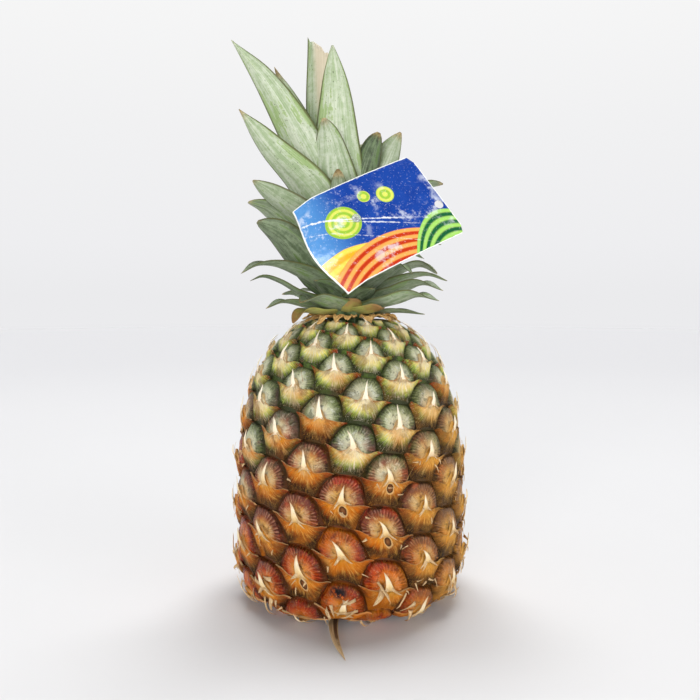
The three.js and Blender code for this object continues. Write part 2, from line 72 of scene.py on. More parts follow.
def make_outline():
    """Rows of distance along the skin, radius and height, from under the base to the top."""
    rows = [(-k, BASE_RADIUS - k, BASE_RISE * k * k) for k in range(44, 0, -1)]
    rows.append((0.0, BASE_RADIUS, 0.0))
    for i in range(1, OUTLINE_STEPS + 1):
        z = OUTLINE_TOP * math.sin(i / OUTLINE_STEPS * math.pi / 2)
        up = max(0.0, (z - WIDEST_HEIGHT) / (CLOSING_HEIGHT - WIDEST_HEIGHT))
        down = max(0.0, (WIDEST_HEIGHT - z) / (WIDEST_HEIGHT - CLOSING_DEPTH))
        if z > WIDEST_HEIGHT:
            r = BODY_RADIUS * (1 - up ** 3.2) ** (1 / 2.35)
        else:
            r = BODY_RADIUS * (1 - down ** 4) ** (1 / 6.5)
        s, r0, z0 = rows[-1]
        rows.append((s + math.hypot(r - r0, z - z0), r, z))
    return np.array(rows)


OUTLINE = make_outline()


def on_skin(eye, across, along, lift):
    """Points on the skin, in mm, from an eye's number and places across, along and out."""
    across, along, lift = (np.asarray(v, float) for v in (across, along, lift))
    step = eye + along / MM_PER_EYE
    turn = EYE_TURN * eye + EYE_PHASE + across / MM_PER_DEGREE
    turn = turn + TWIST * smooth(-step, TWIST_FROM, TWIST_TO)
    length = SKIN_AT_FIRST + SKIN_PER_EYE * step + SKIN_BEND * step * step
    limited = np.clip(length, OUTLINE[0, 0], OUTLINE[-1, 0] - 0.01)
    k = np.clip(np.searchsorted(OUTLINE[:, 0], limited, side="right") - 1, 0, len(OUTLINE) - 2)
    low_row, high_row = OUTLINE[k], OUTLINE[k + 1]
    part = (limited - low_row[..., 0]) / (high_row[..., 0] - low_row[..., 0])
    dr = high_row[..., 1] - low_row[..., 1]
    dz = high_row[..., 2] - low_row[..., 2]
    size_of = np.hypot(dr, dz)
    r = low_row[..., 1] + dr * part
    z = low_row[..., 2] + dz * part
    low = smooth(length, -2, 14)
    size = np.minimum(1, r / 42) * (0.5 + 0.5 * low)
    drop = 0
    for foot in FOOT_TURNS:
        away = (turn - foot + 540) % 360 - 180
        distance = np.hypot(np.radians(away) * r, length + 3)
        drop = drop + FOOT_DROP * np.maximum(0, 1 - (distance / FOOT_REACH) ** 2)
    out = lift * size - 1.3 * (1 - low) + drop
    angle = np.radians(turn - 90)
    radius = r + dz / size_of * out
    return np.stack([radius * np.cos(angle), radius * np.sin(angle), z - dr / size_of * out], -1)


def skin_step(eye, along):
    return eye + np.asarray(along, float) / MM_PER_EYE


def build(name, points, faces, material, uvs=None, values=None):
    """A mesh object from points in mm, faces as rows of numbers, and values at its points."""
    mesh = bpy.data.meshes.new(name)
    points = np.asarray(points, float) * MM
    mesh.from_pydata(points.tolist(), [], [list(map(int, f)) for f in faces])
    mesh.validate()
    for key, value in (values or {}).items():
        layer = mesh.attributes.new(key, "FLOAT", "POINT")
        layer.data.foreach_set("value", np.asarray(value, np.float32))
    corners = np.empty(len(mesh.loops), np.int32)
    mesh.loops.foreach_get("vertex_index", corners)
    for key, value in (uvs or {}).items():
        layer = mesh.uv_layers.new(name=key)
        layer.data.foreach_set("uv", np.asarray(value, np.float32)[corners].ravel())
    mesh.shade_smooth()
    mesh.materials.append(material)
    piece = bpy.data.objects.new(name, mesh)
    bpy.context.scene.collection.objects.link(piece)
    return piece


def grid_faces(rows, columns, start=0, close=False, flip=False):
    """Quads of a grid of rows x columns points, whose columns close to a ring if asked."""
    faces = []
    for i in range(rows - 1):
        for j in range(columns if close else columns - 1):
            k = (j + 1) % columns
            quad = [i * columns + j, i * columns + k, (i + 1) * columns + k, (i + 1) * columns + j]
            faces.append([start + n for n in (quad[::-1] if flip else quad)])
    return faces


def place(piece, slot, *nodes):
    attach(piece, "root")
    if nodes:
        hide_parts(*nodes)


# Materials
def rgb(r, g, b):
    """A colour given as the eye sees it, 0 to 255, turned into light."""
    return tuple(((v / 255 + 0.055) / 1.055) ** 2.4 if v > 10 else v / 255 / 12.92
                 for v in (r, g, b)) + (1.0,)


def fill_ramp(ramp, stops):
    """Sets the stops of a new colour ramp, each a place and a colour."""
    while len(ramp.elements) < len(stops):
        ramp.elements.new(0.5)
    for element, (place_at, color) in zip(ramp.elements, stops):
        element.position = place_at
        element.color = rgb(*color)


class Value:
    """A value in a node material, which can be added, multiplied and so on with plain signs."""

    def __init__(self, look, socket):
        self.look = look
        self.socket = socket

    def __add__(self, other):
        return self.look.math("ADD", self, other)

    def __sub__(self, other):
        return self.look.math("SUBTRACT", self, other)

    def __rsub__(self, other):
        return self.look.math("SUBTRACT", other, self)

    def __mul__(self, other):
        return self.look.math("MULTIPLY", self, other)

    def __truediv__(self, other):
        return self.look.math("DIVIDE", self, other)

    def __pow__(self, other):
        return self.look.math("POWER", self, other)

    def __abs__(self):
        return self.look.math("ABSOLUTE", self)


class Look:
    """A node material, written as short calls. Plain colours are given as the eye sees them."""

    def __init__(self, name):
        self.material = bpy.data.materials.new(name)
        self.material.use_nodes = True
        self.tree = self.material.node_tree
        self.tree.nodes.clear()

    def node(self, kind, *inputs, **settings):
        made = self.tree.nodes.new(kind)
        for key, value in settings.items():
            setattr(made, key, value)
        for socket, value in zip(made.inputs, inputs):
            self.put(socket, value)
        return made

    def put(self, socket, value):
        if isinstance(value, Value):
            self.tree.links.new(value.socket, socket)
        elif isinstance(value, tuple):
            socket.default_value = rgb(*value)
        elif value is not None:
            socket.default_value = value

    def math(self, operation, a, b=None):
        return Value(self, self.node("ShaderNodeMath", a, b, operation=operation).outputs[0])

    def mix(self, share, a, b, blend="MIX"):
        made = self.node("ShaderNodeMix", share, data_type="RGBA", blend_type=blend)
        self.put(made.inputs[6], a)
        self.put(made.inputs[7], b)
        return Value(self, made.outputs[2])

    def step(self, value, low, high, to_low=0.0, to_high=1.0):
        made = self.node("ShaderNodeMapRange", value, low, high, to_low, to_high,
                         interpolation_type="SMOOTHSTEP")
        return Value(self, made.outputs[0])

    def ramp(self, value, *stops):
        made = self.node("ShaderNodeValToRGB", value)
        fill_ramp(made.color_ramp, stops)
        return Value(self, made.outputs[0])

    def noise(self, vector, scale, detail=3.0, roughness=0.55):
        made = self.node("ShaderNodeTexNoise")
        self.put(made.inputs["Vector"], vector)
        made.inputs["Scale"].default_value = scale
        made.inputs["Detail"].default_value = detail
        made.inputs["Roughness"].default_value = roughness
        return Value(self, made.outputs[0])

    def speckle(self, *settings):
        """Noise that runs evenly through the whole piece."""
        return self.noise(self.point(), *settings)

    def point(self):
        return Value(self, self.node("ShaderNodeTexCoord").outputs["Object"])

    def value(self, name):
        return Value(self, self.node("ShaderNodeAttribute", attribute_name=name).outputs["Fac"])

    def split(self, vector):
        return [Value(self, part) for part in self.node("ShaderNodeSeparateXYZ", vector).outputs]

    def uv(self, name):
        made = self.node("ShaderNodeUVMap", uv_map=name)
        return self.split(Value(self, made.outputs[0]))[:2]

    def vector(self, x, y, z=0.0):
        return Value(self, self.node("ShaderNodeCombineXYZ", x, y, z).outputs[0])

    def length(self, x, y):
        made = self.node("ShaderNodeVectorMath", self.vector(x, y), operation="LENGTH")
        return Value(self, made.outputs["Value"])

    def bump(self, height, distance, strength):
        made = self.node("ShaderNodeBump")
        made.inputs["Strength"].default_value = strength
        made.inputs["Distance"].default_value = distance
        self.put(made.inputs["Height"], height)
        return Value(self, made.outputs[0])

    def finish(self, color, roughness, normal=None, **shader):
        surface = self.node("ShaderNodeBsdfPrincipled")
        self.put(surface.inputs["Base Color"], color)
        self.put(surface.inputs["Roughness"], roughness)
        self.put(surface.inputs["Normal"], normal)
        for key, value in shader.items():
            self.put(surface.inputs[key.replace("_", " ")], value)
        out = self.node("ShaderNodeOutputMaterial")
        self.tree.links.new(surface.outputs[0], out.inputs[0])
        return self.material


# Width and height, in mm, of the plane that an eye's map spans.
EYE_SPAN = 50.0


def eye_plane(look):
    """Across and along in mm within an eye, and the eye's own numbers."""
    u, v = look.uv("eye")
    across = (u - 0.5) * EYE_SPAN
    along = (v - 0.5) * EYE_SPAN
    return across, along, look.value("ripe"), look.value("own")


def golden_side(look, color):
    """The colour with the gold that the side of the fruit at +X has gained low down."""
    x, _, z = look.split(look.point())
    share = look.step(x, 0.01, 0.055, 0.0, 0.6) * look.step(z, 0.125, 0.09)
    return look.mix(share, color, (206, 158, 70), "COLOR")


def skin_look():
    look = Look("skin_of_eyes")
    across, along, ripe, own = eye_plane(look)
    dx = (across - DISC_MIDDLE[0]) / DISC_SIZE[0]
    dy = (along - DISC_MIDDLE[1]) / DISC_SIZE[1]
    rho = (abs(dx) ** DISC_POWER + abs(dy) ** DISC_POWER) ** (1 / DISC_POWER)
    theta = look.math("ARCTAN2", dy, dx)
    shift = own * 37.0
    rays = look.noise(look.vector(theta * 5.0, rho * 1.2, shift), 1.7, 4, 0.6)
    fine = look.noise(look.vector(theta * 21.0, rho * 1.6, shift), 1.7, 4, 0.65)
    spots = look.speckle(210, 5, 0.65)
    patches = look.speckle(75, 3, 0.55)
    grain = look.speckle(1300, 2, 0.6)
    bent = rho + (rays - 0.5) * 0.45 + (spots - 0.5) * 0.45
    # The ramps run from the disc's middle to its rim. The darker ring near the rim is the disc's own
    # colour; the darkest ends, where the rim falls into the groove, are painted shade.
    upper = look.ramp(bent, (0.0, (228, 212, 150)), (0.25, (240, 236, 200)), (0.45, (214, 216, 174)),
                      (0.66, (168, 176, 124)), (0.86, (108, 122, 64)), (1.0, (28, 36, 10)))
    middle = look.ramp(bent, (0.0, (204, 136, 44)), (0.28, (226, 172, 82)), (0.46, (192, 120, 44)),
                       (0.62, (160, 80, 42)), (0.82, (126, 56, 40)), (0.98, (46, 20, 6)))
    lowest = look.ramp(bent, (0.0, (220, 152, 48)), (0.22, (228, 122, 12)), (0.52, (208, 76, 2)),
                       (0.8, (158, 38, 2)), (1.0, (78, 28, 2)))
    mottled = ripe + (own - 0.5) * 0.2 + (patches - 0.5) * 0.5
    to_middle = look.step(mottled, 0.4, 0.62)
    to_lowest = look.step(mottled, 0.72, 0.9)
    plum = look.step(patches, 0.48, 0.6) * look.step(ripe, 0.15, 0.5) * look.step(rho, 0.25, 0.6)
    upper = look.mix(plum * 0.75, upper, (122, 86, 86))
    color = look.mix(to_middle, upper, middle)
    ribs = abs(look.math("SINE", theta * 19.0 + fine * 5.0))
    band = look.step(rho, 0.5, 0.7) * look.step(rho, 0.98, 0.88)
    crimp = ribs * band * look.step(look.speckle(70, 2), 0.36, 0.52)
    color = look.mix(look.step(crimp, 0.6, 1.0) * to_middle * 0.4, color,
                     look.mix(to_lowest, (200, 148, 122), (226, 116, 34)))
    dark_ribs = (band - crimp) * 0.42
    color = look.mix(dark_ribs, color, look.mix(to_middle, (44, 50, 26), (84, 36, 34)))
    red = look.step(look.speckle(95, 2), 0.54, 0.66) * to_middle
    color = look.mix(red * 0.75, color, (184, 48, 24))
    color = look.mix(to_lowest * 0.9, color, lowest)
    sunny = look.step(own, 0.5, 0.75) * to_lowest * look.step(patches, 0.42, 0.56)
    color = look.mix(sunny * 0.42, color, (232, 134, 18))
    # Painted highlight: whitish blotches on both sides of the spike, fainter on the ripest discs.
    lobe = look.length((abs(across) - 4.4) / 3.4, (along - 2.4) / 4.0)
    lobe_highlight = look.step(lobe, 1.15, 0.3) * look.step(fine + rays, 0.8, 1.2)
    color = look.mix(lobe_highlight * look.step(mottled, 0.65, 0.85, 0.7, 0.2), color,
                     look.mix(to_middle, (214, 212, 190), (236, 212, 164)))
    heart = look.length(across / 3.6, (along - 1.2) / 2.6)
    heart = look.step(heart, 1.2, 0.4) * look.step(spots, 0.44, 0.58)
    color = look.mix(heart * 0.7, color, (140, 86, 42))
    warm = look.mix(to_middle, (228, 222, 194), (236, 176, 82))
    color = look.mix(look.step(fine, 0.55, 0.72) * 0.35, color, warm)
    glints = look.step(look.speckle(420, 4, 0.7), 0.52, 0.64) * look.step(rho, 0.92, 0.5)
    glints = glints * look.step(mottled, 0.8, 0.4, 0.25, 0.75)
    color = look.mix(glints, color, look.mix(to_middle, (226, 228, 212), (240, 206, 140)))
    shade = look.step(look.speckle(300, 4, 0.7), 0.47, 0.36)
    color = look.mix(shade * 0.6, color, look.mix(to_middle, (58, 66, 36), (112, 50, 22)))
    streaks = look.step(mottled, 0.65, 0.85, 0.5, 0.22)
    color = look.mix(look.step(fine, 0.46, 0.3) * streaks, color,
                     look.mix(to_middle, (62, 66, 40), (104, 46, 26)))
    color = look.mix(look.step(grain, 0.58, 0.72) * 0.3, color, warm)
    rot = look.value("rot") * look.step(look.speckle(520, 4, 0.7), 0.36, 0.5)
    color = look.mix(rot, color, (34, 22, 24))
    # Painted shade: the groove round each disc is darkened in the colour, with the real green moss of the
    # upper grooves mixed in.
    groove = look.step(rho, 0.93, 1.04)
    groove_shade_and_moss = look.mix(look.step(mottled, 0.35, 0.75), (52, 58, 24), (96, 48, 12))
    moss = look.step(spots, 0.46, 0.58) * look.step(ripe, 0.4, 0.15)
    groove_shade_and_moss = look.mix(moss * 0.85, groove_shade_and_moss, (98, 128, 44))
    color = look.mix(groove, color, groove_shade_and_moss)
    height = fine * 0.8 + crimp * 0.9 + grain * 0.3 + spots * 0.8
    gloss = look.step(mottled, 0.5, 0.85, 0.45, 0.26)
    color = golden_side(look, color)
    return look.finish(color, gloss, look.bump(height, 0.001, 0.9), Specular_IOR_Level=0.35)


def bract_look():
    look = Look("bracts")
    across, along, ripe, own = eye_plane(look)
    s, q = look.uv("sheet")
    side = abs((s - 0.5) * 2.0)
    phi = look.math("ARCTAN2", along - 2.4, across)
    away = look.length(across, along + 0.2)
    shift = own * 31.0
    rays = look.noise(look.vector(phi * 5.5, away * 0.08, shift), 2.2, 4, 0.65)
    fine = look.noise(look.vector(phi * 22.0, away * 0.14, shift), 2.0, 4, 0.65)
    spots = look.speckle(230, 5, 0.65)
    patches = look.speckle(80, 3)
    grain = look.speckle(1700, 2, 0.7)
    down = look.length(across * 0.82, (along + 0.2) * 1.35)
    reach = (down + (rays - 0.5) * 12.0 + (spots - 0.5) * 7.0) / 12.5
    # The ramps run from cream at the spike's foot through gold and green, which is the bract's own colour.
    # Their darkest ends, at the bract's far lower parts, are painted shade.
    upper = look.ramp(reach, (0.0, (255, 244, 206)), (0.22, (255, 238, 176)), (0.42, (246, 226, 136)),
                      (0.58, (222, 214, 106)), (0.72, (160, 178, 68)), (0.9, (84, 106, 32)),
                      (1.0, (34, 40, 12)))
    lower = look.ramp(reach, (0.0, (244, 190, 84)), (0.2, (226, 146, 30)), (0.42, (200, 104, 6)),
                      (0.62, (146, 64, 2)), (0.8, (76, 30, 2)), (1.0, (32, 12, 1)))
    mottled = ripe + (own - 0.5) * 0.25 + (patches - 0.5) * 0.6
    to_lower = look.step(mottled, 0.26, 0.58)
    color = look.mix(to_lower, upper, lower)
    cream = look.step(rays, 0.49, 0.6) * look.step(away, 13.0, 4.0)
    pale = look.mix(to_lower, (255, 246, 214), (234, 172, 84))
    heart = look.step(away, 10.5, 3.5) * look.step(rays, 0.38, 0.54)
    color = look.mix(heart * 0.7, color, look.mix(to_lower, (250, 224, 170), (218, 134, 38)))
    color = look.mix(cream * 0.75, color, pale)
    rust = look.math("MAXIMUM", look.step(q, 0.22, 0.02), look.step(side, 0.6, 0.95))
    rust = rust * look.step(side, 0.08, 0.4) * look.step(spots, 0.36, 0.56)
    color = look.mix(rust * 0.85, color, look.mix(look.step(side, 0.5, 1.0), (200, 112, 36),
                                                  (150, 56, 22)))
    brown = look.step(look.speckle(120, 4), 0.52, 0.64) * 0.6
    color = look.mix(brown, color, look.mix(to_lower, (132, 94, 40), (122, 66, 24)))
    # Painted shade: the bract's lower edge is darkened where it tucks down towards the disc below.
    edge = look.step(q, 0.55, 0.95) * look.step(spots, 0.62, 0.34)
    color = look.mix(edge * 0.85, color, look.mix(to_lower, (60, 66, 28), (78, 50, 24)))
    streak = look.step(fine, 0.47, 0.3) * 0.5
    color = look.mix(streak, color, look.mix(to_lower, (96, 84, 34), (96, 54, 20)))
    color = look.mix(look.step(fine, 0.55, 0.72) * 0.4, color, pale)
    color = look.mix(look.step(grain, 0.57, 0.68) * 0.25, color, pale)
    color = look.mix(look.step(q, 0.05, 0.0) * 0.5, color, (232, 196, 138))
    ochre = look.step(look.speckle(55, 3), 0.5, 0.62) * look.step(ripe, 0.6, 0.85)
    color = look.mix(ochre * 0.5, color, (216, 118, 14))
    pit = look.length((across - PIT_PLACE[0]) / PIT_SIZE[0], (along - PIT_PLACE[1]) / PIT_SIZE[1])
    pit = pit + (spots - 0.5) * 0.9
    pitted = look.value("pitted")
    color = look.mix(look.step(pit, 1.4, 1.15) * (pitted * 0.7), color, (226, 190, 132))
    inside = look.ramp(pit, (0.0, (150, 100, 58)), (0.5, (124, 74, 40)), (1.0, (50, 26, 14)))
    color = look.mix(look.step(pit, 1.05, 0.9) * pitted, color, inside)
    height = fine * 0.9 + grain * 0.35 + spots * 1.2
    color = golden_side(look, color)
    return look.finish(color, 0.55, look.bump(height, 0.001, 0.9), Specular_IOR_Level=0.15)


def spike_look():
    look = Look("papery_spikes")
    s, t = look.uv("blade")
    own = look.value("own")
    fine = look.noise(look.vector(s * 9.0, t * 1.5, own * 19.0), 2.0, 4, 0.6)
    color = look.ramp(t + (fine - 0.5) * 0.3, (0.0, (206, 162, 96)), (0.25, (230, 202, 148)),
                      (0.6, (242, 226, 192)), (1.0, (208, 170, 118)))
    _, _, z = look.split(look.point())
    color = look.mix(look.step(z, 0.06, 0.11, 0.0, 0.75), color, (255, 246, 224))
    color = look.mix(look.step(fine, 0.48, 0.25) * 0.6, color, (160, 112, 60))
    height = fine + look.speckle(1400, 2) * 0.4
    return look.finish(color, 0.6, look.bump(height, 0.0003, 0.7), Specular_IOR_Level=0.3)


def leaf_look():
    look = Look("crown_leaf")
    s, t = look.uv("blade")
    own, dim, dry = look.value("own"), look.value("dim"), look.value("dry")
    side = abs((s - 0.5) * 2.0)
    shift = own * 41.0
    fine = look.noise(look.vector(s * 26.0, t * 1.2, shift), 2.0, 4, 0.6)
    broad = look.noise(look.vector(s * 5.0, t * 1.6, shift), 1.6, 3, 0.6)
    powder = look.speckle(320, 5, 0.7)
    patches = look.speckle(60, 3)
    pale = look.mix(dim, (200, 206, 186), (98, 118, 80))
    deep = look.mix(dim, (152, 170, 130), (22, 40, 12))
    color = look.mix(look.step(broad * 0.6 + powder * 0.4, 0.38, 0.62), deep, pale)
    rubbed = look.step(broad * 0.5 + patches * 0.25 + powder * 0.25 + side ** 3.0 * 0.1, 0.555, 0.6)
    color = look.mix(rubbed * 0.7, color, look.mix(dim, (122, 154, 62), (66, 96, 30)))
    specks = look.step(look.speckle(900, 2, 0.5), 0.66, 0.72)
    color = look.mix(specks * 0.6, color, (58, 62, 30))
    color = look.mix(look.step(fine, 0.5, 0.35) * 0.3, color, (92, 116, 66))
    color = look.mix(look.step(fine, 0.55, 0.75) * 0.3, color, (224, 230, 208))
    color = look.mix(look.step(side, 0.88, 0.96) * 0.8, color, (78, 76, 34))
    ragged = t + (fine - 0.5) * 0.16
    tip = look.step(ragged + dry * 0.22, 0.99, 1.08)
    scorched = look.mix(look.step(powder, 0.4, 0.6), (122, 92, 48), (180, 150, 98))
    color = look.mix(tip * 0.85, color, scorched)
    bleached = look.value("bleached") * look.step(s + ragged * 0.5, 0.6, 0.85)
    color = look.mix(bleached * 0.9, color, look.mix(fine, (176, 160, 132), (216, 204, 182)))
    husk = look.mix(look.step(t + (powder - 0.5) * 0.9, 0.55, 0.95),
                    look.mix(fine, (104, 110, 44), (186, 178, 96)), (132, 96, 50))
    color = look.mix(look.step(dry, 1.1, 1.4) * 0.85, color, husk)
    height = fine * 0.8 + powder * 0.3
    return look.finish(color, 0.55, look.bump(height, 0.0004, 0.6), Specular_IOR_Level=0.35)


def husk_look(name, light, dark):
    """Dry fibrous matter: streaks of two tones along its length."""
    look = Look(name)
    s, t = look.uv("blade")
    own = look.value("own") * 23.0
    fine = look.noise(look.vector(s * 16.0, t * 2.0, own), 2.0, 4, 0.65)
    spots = look.speckle(260, 3)
    color = look.mix(look.step(fine, 0.35, 0.65), dark, light)
    color = look.mix(look.step(spots, 0.5, 0.7) * 0.5, color, dark)
    return look.finish(color, 0.7, look.bump(fine, 0.0004, 0.8), Specular_IOR_Level=0.25)


def dry_leaf_look():
    """A rolled dry leaf: tan with a dark brown band right of its middle for the inside of the roll, its own
    brown with the roll's shade painted in.
    """
    look = Look("dry_stalk")
    s, t = look.uv("blade")
    fine = look.noise(look.vector(s * 12.0, t * 3.0), 2.0, 4, 0.65)
    spots = look.speckle(300, 4, 0.6)
    color = look.mix(look.step(fine, 0.35, 0.65), (176, 140, 92), (230, 206, 162))
    # Partly painted shade: the band stands for the shaded inside of the roll, over the leaf's own darker
    # brown.
    hollow = look.step(s, 0.42, 0.56) * look.step(s, 0.95, 0.86)
    hollow = hollow * look.step(t + (spots - 0.5) * 0.2, 0.88, 0.72)
    color = look.mix(hollow * 0.9, color, look.mix(spots, (58, 32, 16), (108, 70, 38)))
    return look.finish(color, 0.65, look.bump(fine, 0.0004, 0.8), Specular_IOR_Level=0.25)


# Width and height of the card's print in mm.
PRINT_WIDTH, PRINT_HEIGHT = 69.0, 50.0


def card_look():
    look = Look("printed_card")
    u, v = look.uv("card")
    face = look.value("face")
    x = u * PRINT_WIDTH
    y = v * PRINT_HEIGHT
    cloud = look.noise(look.vector(u * 2.0, v * 1.4), 2.4, 3)
    deep = look.mix(cloud, (12, 42, 126), (34, 80, 172))
    color = look.mix(look.step(u, 0.02, 0.34), (84, 146, 208), deep)
    # Three rolling hills along the low edge, each with its own contour lines.
    for peak, top, steep, turns, light, dark in ((0.1, 0.62, 1.1, 60, (252, 214, 86), (238, 172, 40)),
                                                 (0.4, 0.66, 1.1, 74, (250, 168, 84), (190, 52, 22)),
                                                 (0.88, 0.66, 3.2, 66, (160, 210, 100), (26, 92, 54))):
        side = u - peak
        hill = v - (side * side * steep + top)
        lines = look.math("SINE", hill * turns)
        color = look.mix(look.step(hill, -0.006, 0.006), color,
                         look.mix(look.step(lines, -0.7, 0.7), dark, light))
    # Three ringed discs over the hills: their middles and radii in mm.
    for cx, cy, radius in ((17.0, 19.0, 8.5), (33.0, 11.0, 3.2), (43.5, 14.5, 4.6)):
        away = look.length(x - cx, y - cy)
        rings = look.step(look.math("SINE", away * 2.2), -0.6, 0.6)
        disc = look.mix(rings, (150, 192, 60), (214, 218, 96))
        color = look.mix(look.step(away, radius + 0.12, radius - 0.12), color, disc)
    rim = look.math("MINIMUM", look.math("MINIMUM", x, PRINT_WIDTH - x),
                    look.math("MINIMUM", y, PRINT_HEIGHT - y))
    ragged = look.speckle(460, 4, 0.7)
    torn = rim + (ragged - 0.5) * 0.8
    color = look.mix(look.step(torn, 0.5, 0.3), color, (240, 241, 238))
    # Two whitened folds that run past the pin, and a fainter one below them.
    for slope, level, width, amount in ((0.62, 0.4, 0.6, 0.9), (0.74, 0.43, 0.45, 0.7),
                                        (0.9, 0.6, 0.25, 0.5)):
        off = abs(y - ((u - PIN_AT[0]) * (slope * PRINT_HEIGHT) + level * PRINT_HEIGHT))
        line = look.step(off + (ragged - 0.5) * 2.6, width, width * 0.2)
        color = look.mix(line * look.step(u, 0.85, 0.5) * amount, color, (236, 238, 240))
    scuff = look.speckle(110, 6, 0.72)
    zone = look.noise(look.vector(u * 1.7, v * 1.3, 3.0), 2.6, 2)
    worn = look.step(scuff, 0.5, 0.62) * look.step(zone, 0.46, 0.62)
    color = look.mix(worn * 0.55, color, (228, 233, 240))
    dust = look.speckle(900, 3, 0.7)
    color = look.mix(look.step(dust, 0.6, 0.7) * 0.4, color, (226, 232, 240))
    color = look.mix(face, (236, 236, 232), color)
    ripple = look.speckle(60, 3)
    rough = look.step(scuff, 0.4, 0.7, 0.1, 0.4)
    return look.finish(color, rough, look.bump(ripple, 0.004, 0.4), Specular_IOR_Level=0.4,
                       Coat_Weight=0.25, Coat_Roughness=0.1)


def clear_look():
    look = Look("clear_pin")
    cloud = look.speckle(700, 3)
    color = look.mix(cloud, (250, 252, 252), (232, 240, 242))
    return look.finish(color, look.step(cloud, 0.3, 0.7, 0.06, 0.16), look.bump(cloud, 0.0002, 0.4),
                       Transmission_Weight=0.75, IOR=1.49)


# Grey that the ground is painted far away, where it meets the sky's tone: a painted falloff of light.
FAR_GROUND = 213


def floor_look():
    look = Look("pale_ground")
    cloud = look.speckle(3.0, 3)
    color = look.mix(cloud, (221, 221, 222), (225, 225, 226))
    x, y, _ = look.split(look.point())
    away = look.length(x, y)
    # Painted shade: the ground darkens with distance from the foot, standing for the light falling off
    # towards the horizon.
    color = look.mix(look.step(away, 0.1, 1.6), color, (FAR_GROUND, FAR_GROUND, FAR_GROUND + 2))
    return look.finish(color, 0.9, None, Specular_IOR_Level=0.0)


# Eyes
NEIGHBOURS = (7, 18, 11, -7, -18, -11)
SIDE_POINTS = 6
DISC_MIDDLE = np.array([-0.1, 1.3])
DISC_SIZE = np.array([11.2, 10.7])
DISC_POWER = 2.5
# Rings from the shared edge inwards: share of the way to the disc's rim, then of its radius.
WALL_RINGS = ((0.45, -3.2), (0.8, -2.75))
DISC_RINGS = ((1.0, -2.2), (0.975, -1.6), (0.93, -1.15), (0.86, -0.9), (0.76, -0.72), (0.64, -0.58),
              (0.5, -0.45), (0.36, -0.38), (0.22, -0.42), (0.1, -0.5))


def cell_edge():
    steps = []
    for number in NEIGHBOURS:
        turn = (EYE_TURN * number + 540) % 360 - 180
        steps.append((turn * MM_PER_DEGREE, number * MM_PER_EYE))
    corners = []
    for a, b in zip(steps, steps[1:] + steps[:1]):
        corners.append(((a[0] + b[0]) / 3, (a[1] + b[1]) / 3))
    edge = []
    for a, b in zip(corners, corners[1:] + corners[:1]):
        for k in range(SIDE_POINTS):
            t = k / SIDE_POINTS
            edge.append((a[0] + (b[0] - a[0]) * t, a[1] + (b[1] - a[1]) * t))
    return np.array(edge)


def eye_template():
    """Points of one eye as across, along, lift and how much of the lift varies, and its faces."""
    edge = cell_edge()
    count = len(edge)
    ray = edge - DISC_MIDDLE
    unit = ray / DISC_SIZE
    far = (np.abs(unit) ** DISC_POWER).sum(1) ** (1 / DISC_POWER)
    rim = DISC_MIDDLE + DISC_SIZE * unit / far[:, None]
    inside = np.linalg.norm(rim - DISC_MIDDLE, axis=1) < np.linalg.norm(ray, axis=1) * 0.94
    rim = np.where(inside[:, None], rim, DISC_MIDDLE + ray * 0.94)
    rings = [np.column_stack([edge, np.full(count, GROOVE), np.zeros(count)])]
    for share, lift in WALL_RINGS:
        rings.append(np.column_stack([edge + (rim - edge) * share, np.full(count, lift), np.ones(count)]))
    for share, lift in DISC_RINGS:
        at = DISC_MIDDLE + (rim - DISC_MIDDLE) * share
        rings.append(np.column_stack([at, np.full(count, lift), np.ones(count)]))
    points = np.vstack(rings + [[[*DISC_MIDDLE, -0.5, 1.0]]])
    faces = grid_faces(len(rings), count, close=True)
    last = (len(rings) - 1) * count
    faces += [[last + j, last + (j + 1) % count, len(points) - 1] for j in range(count)]
    return points, faces


# Eyes from the greenest one to the ripest one.
RIPENING_EYES = 120


def ripeness(step):
    return np.clip(0.5 - np.asarray(step, float) / RIPENING_EYES, 0, 1)


def tuck_under(points):
    """Keeps the skin off the ground, out of the hollow of the base and off the dry leaf."""
    x, y, z = points.T
    radius = np.hypot(x, y)
    hollow = np.interp(radius, [0, 13, 34, 35], [3.4, 3.4, 1.4, 0.0])
    z = np.where(z < 60, np.maximum(z, hollow), z)
    along_leaf = np.array(DRY_LEAF[0])
    leaf_x = np.interp(-y, -along_leaf[:, 1], along_leaf[:, 0])
    over_leaf = (y < -6) & (np.abs(x - leaf_x) < DRY_LEAF_HALF)
    z = np.where(over_leaf & (z < DRY_LEAF_TOP), DRY_LEAF_TOP, z)
    return np.column_stack([x, y, np.clip(z, 0, FRUIT_TOP)])


# The eye with a dark mouldy spot, and the eyes whose bracts have a pit.
ROTTEN_EYE = -54
PITTED_EYES = (-11, -18, -29, -43, -38, -52, -31, -24, -62)
PIT_PLACE, PIT_SIZE = (0.2, -3.6), (1.7, 2.3)


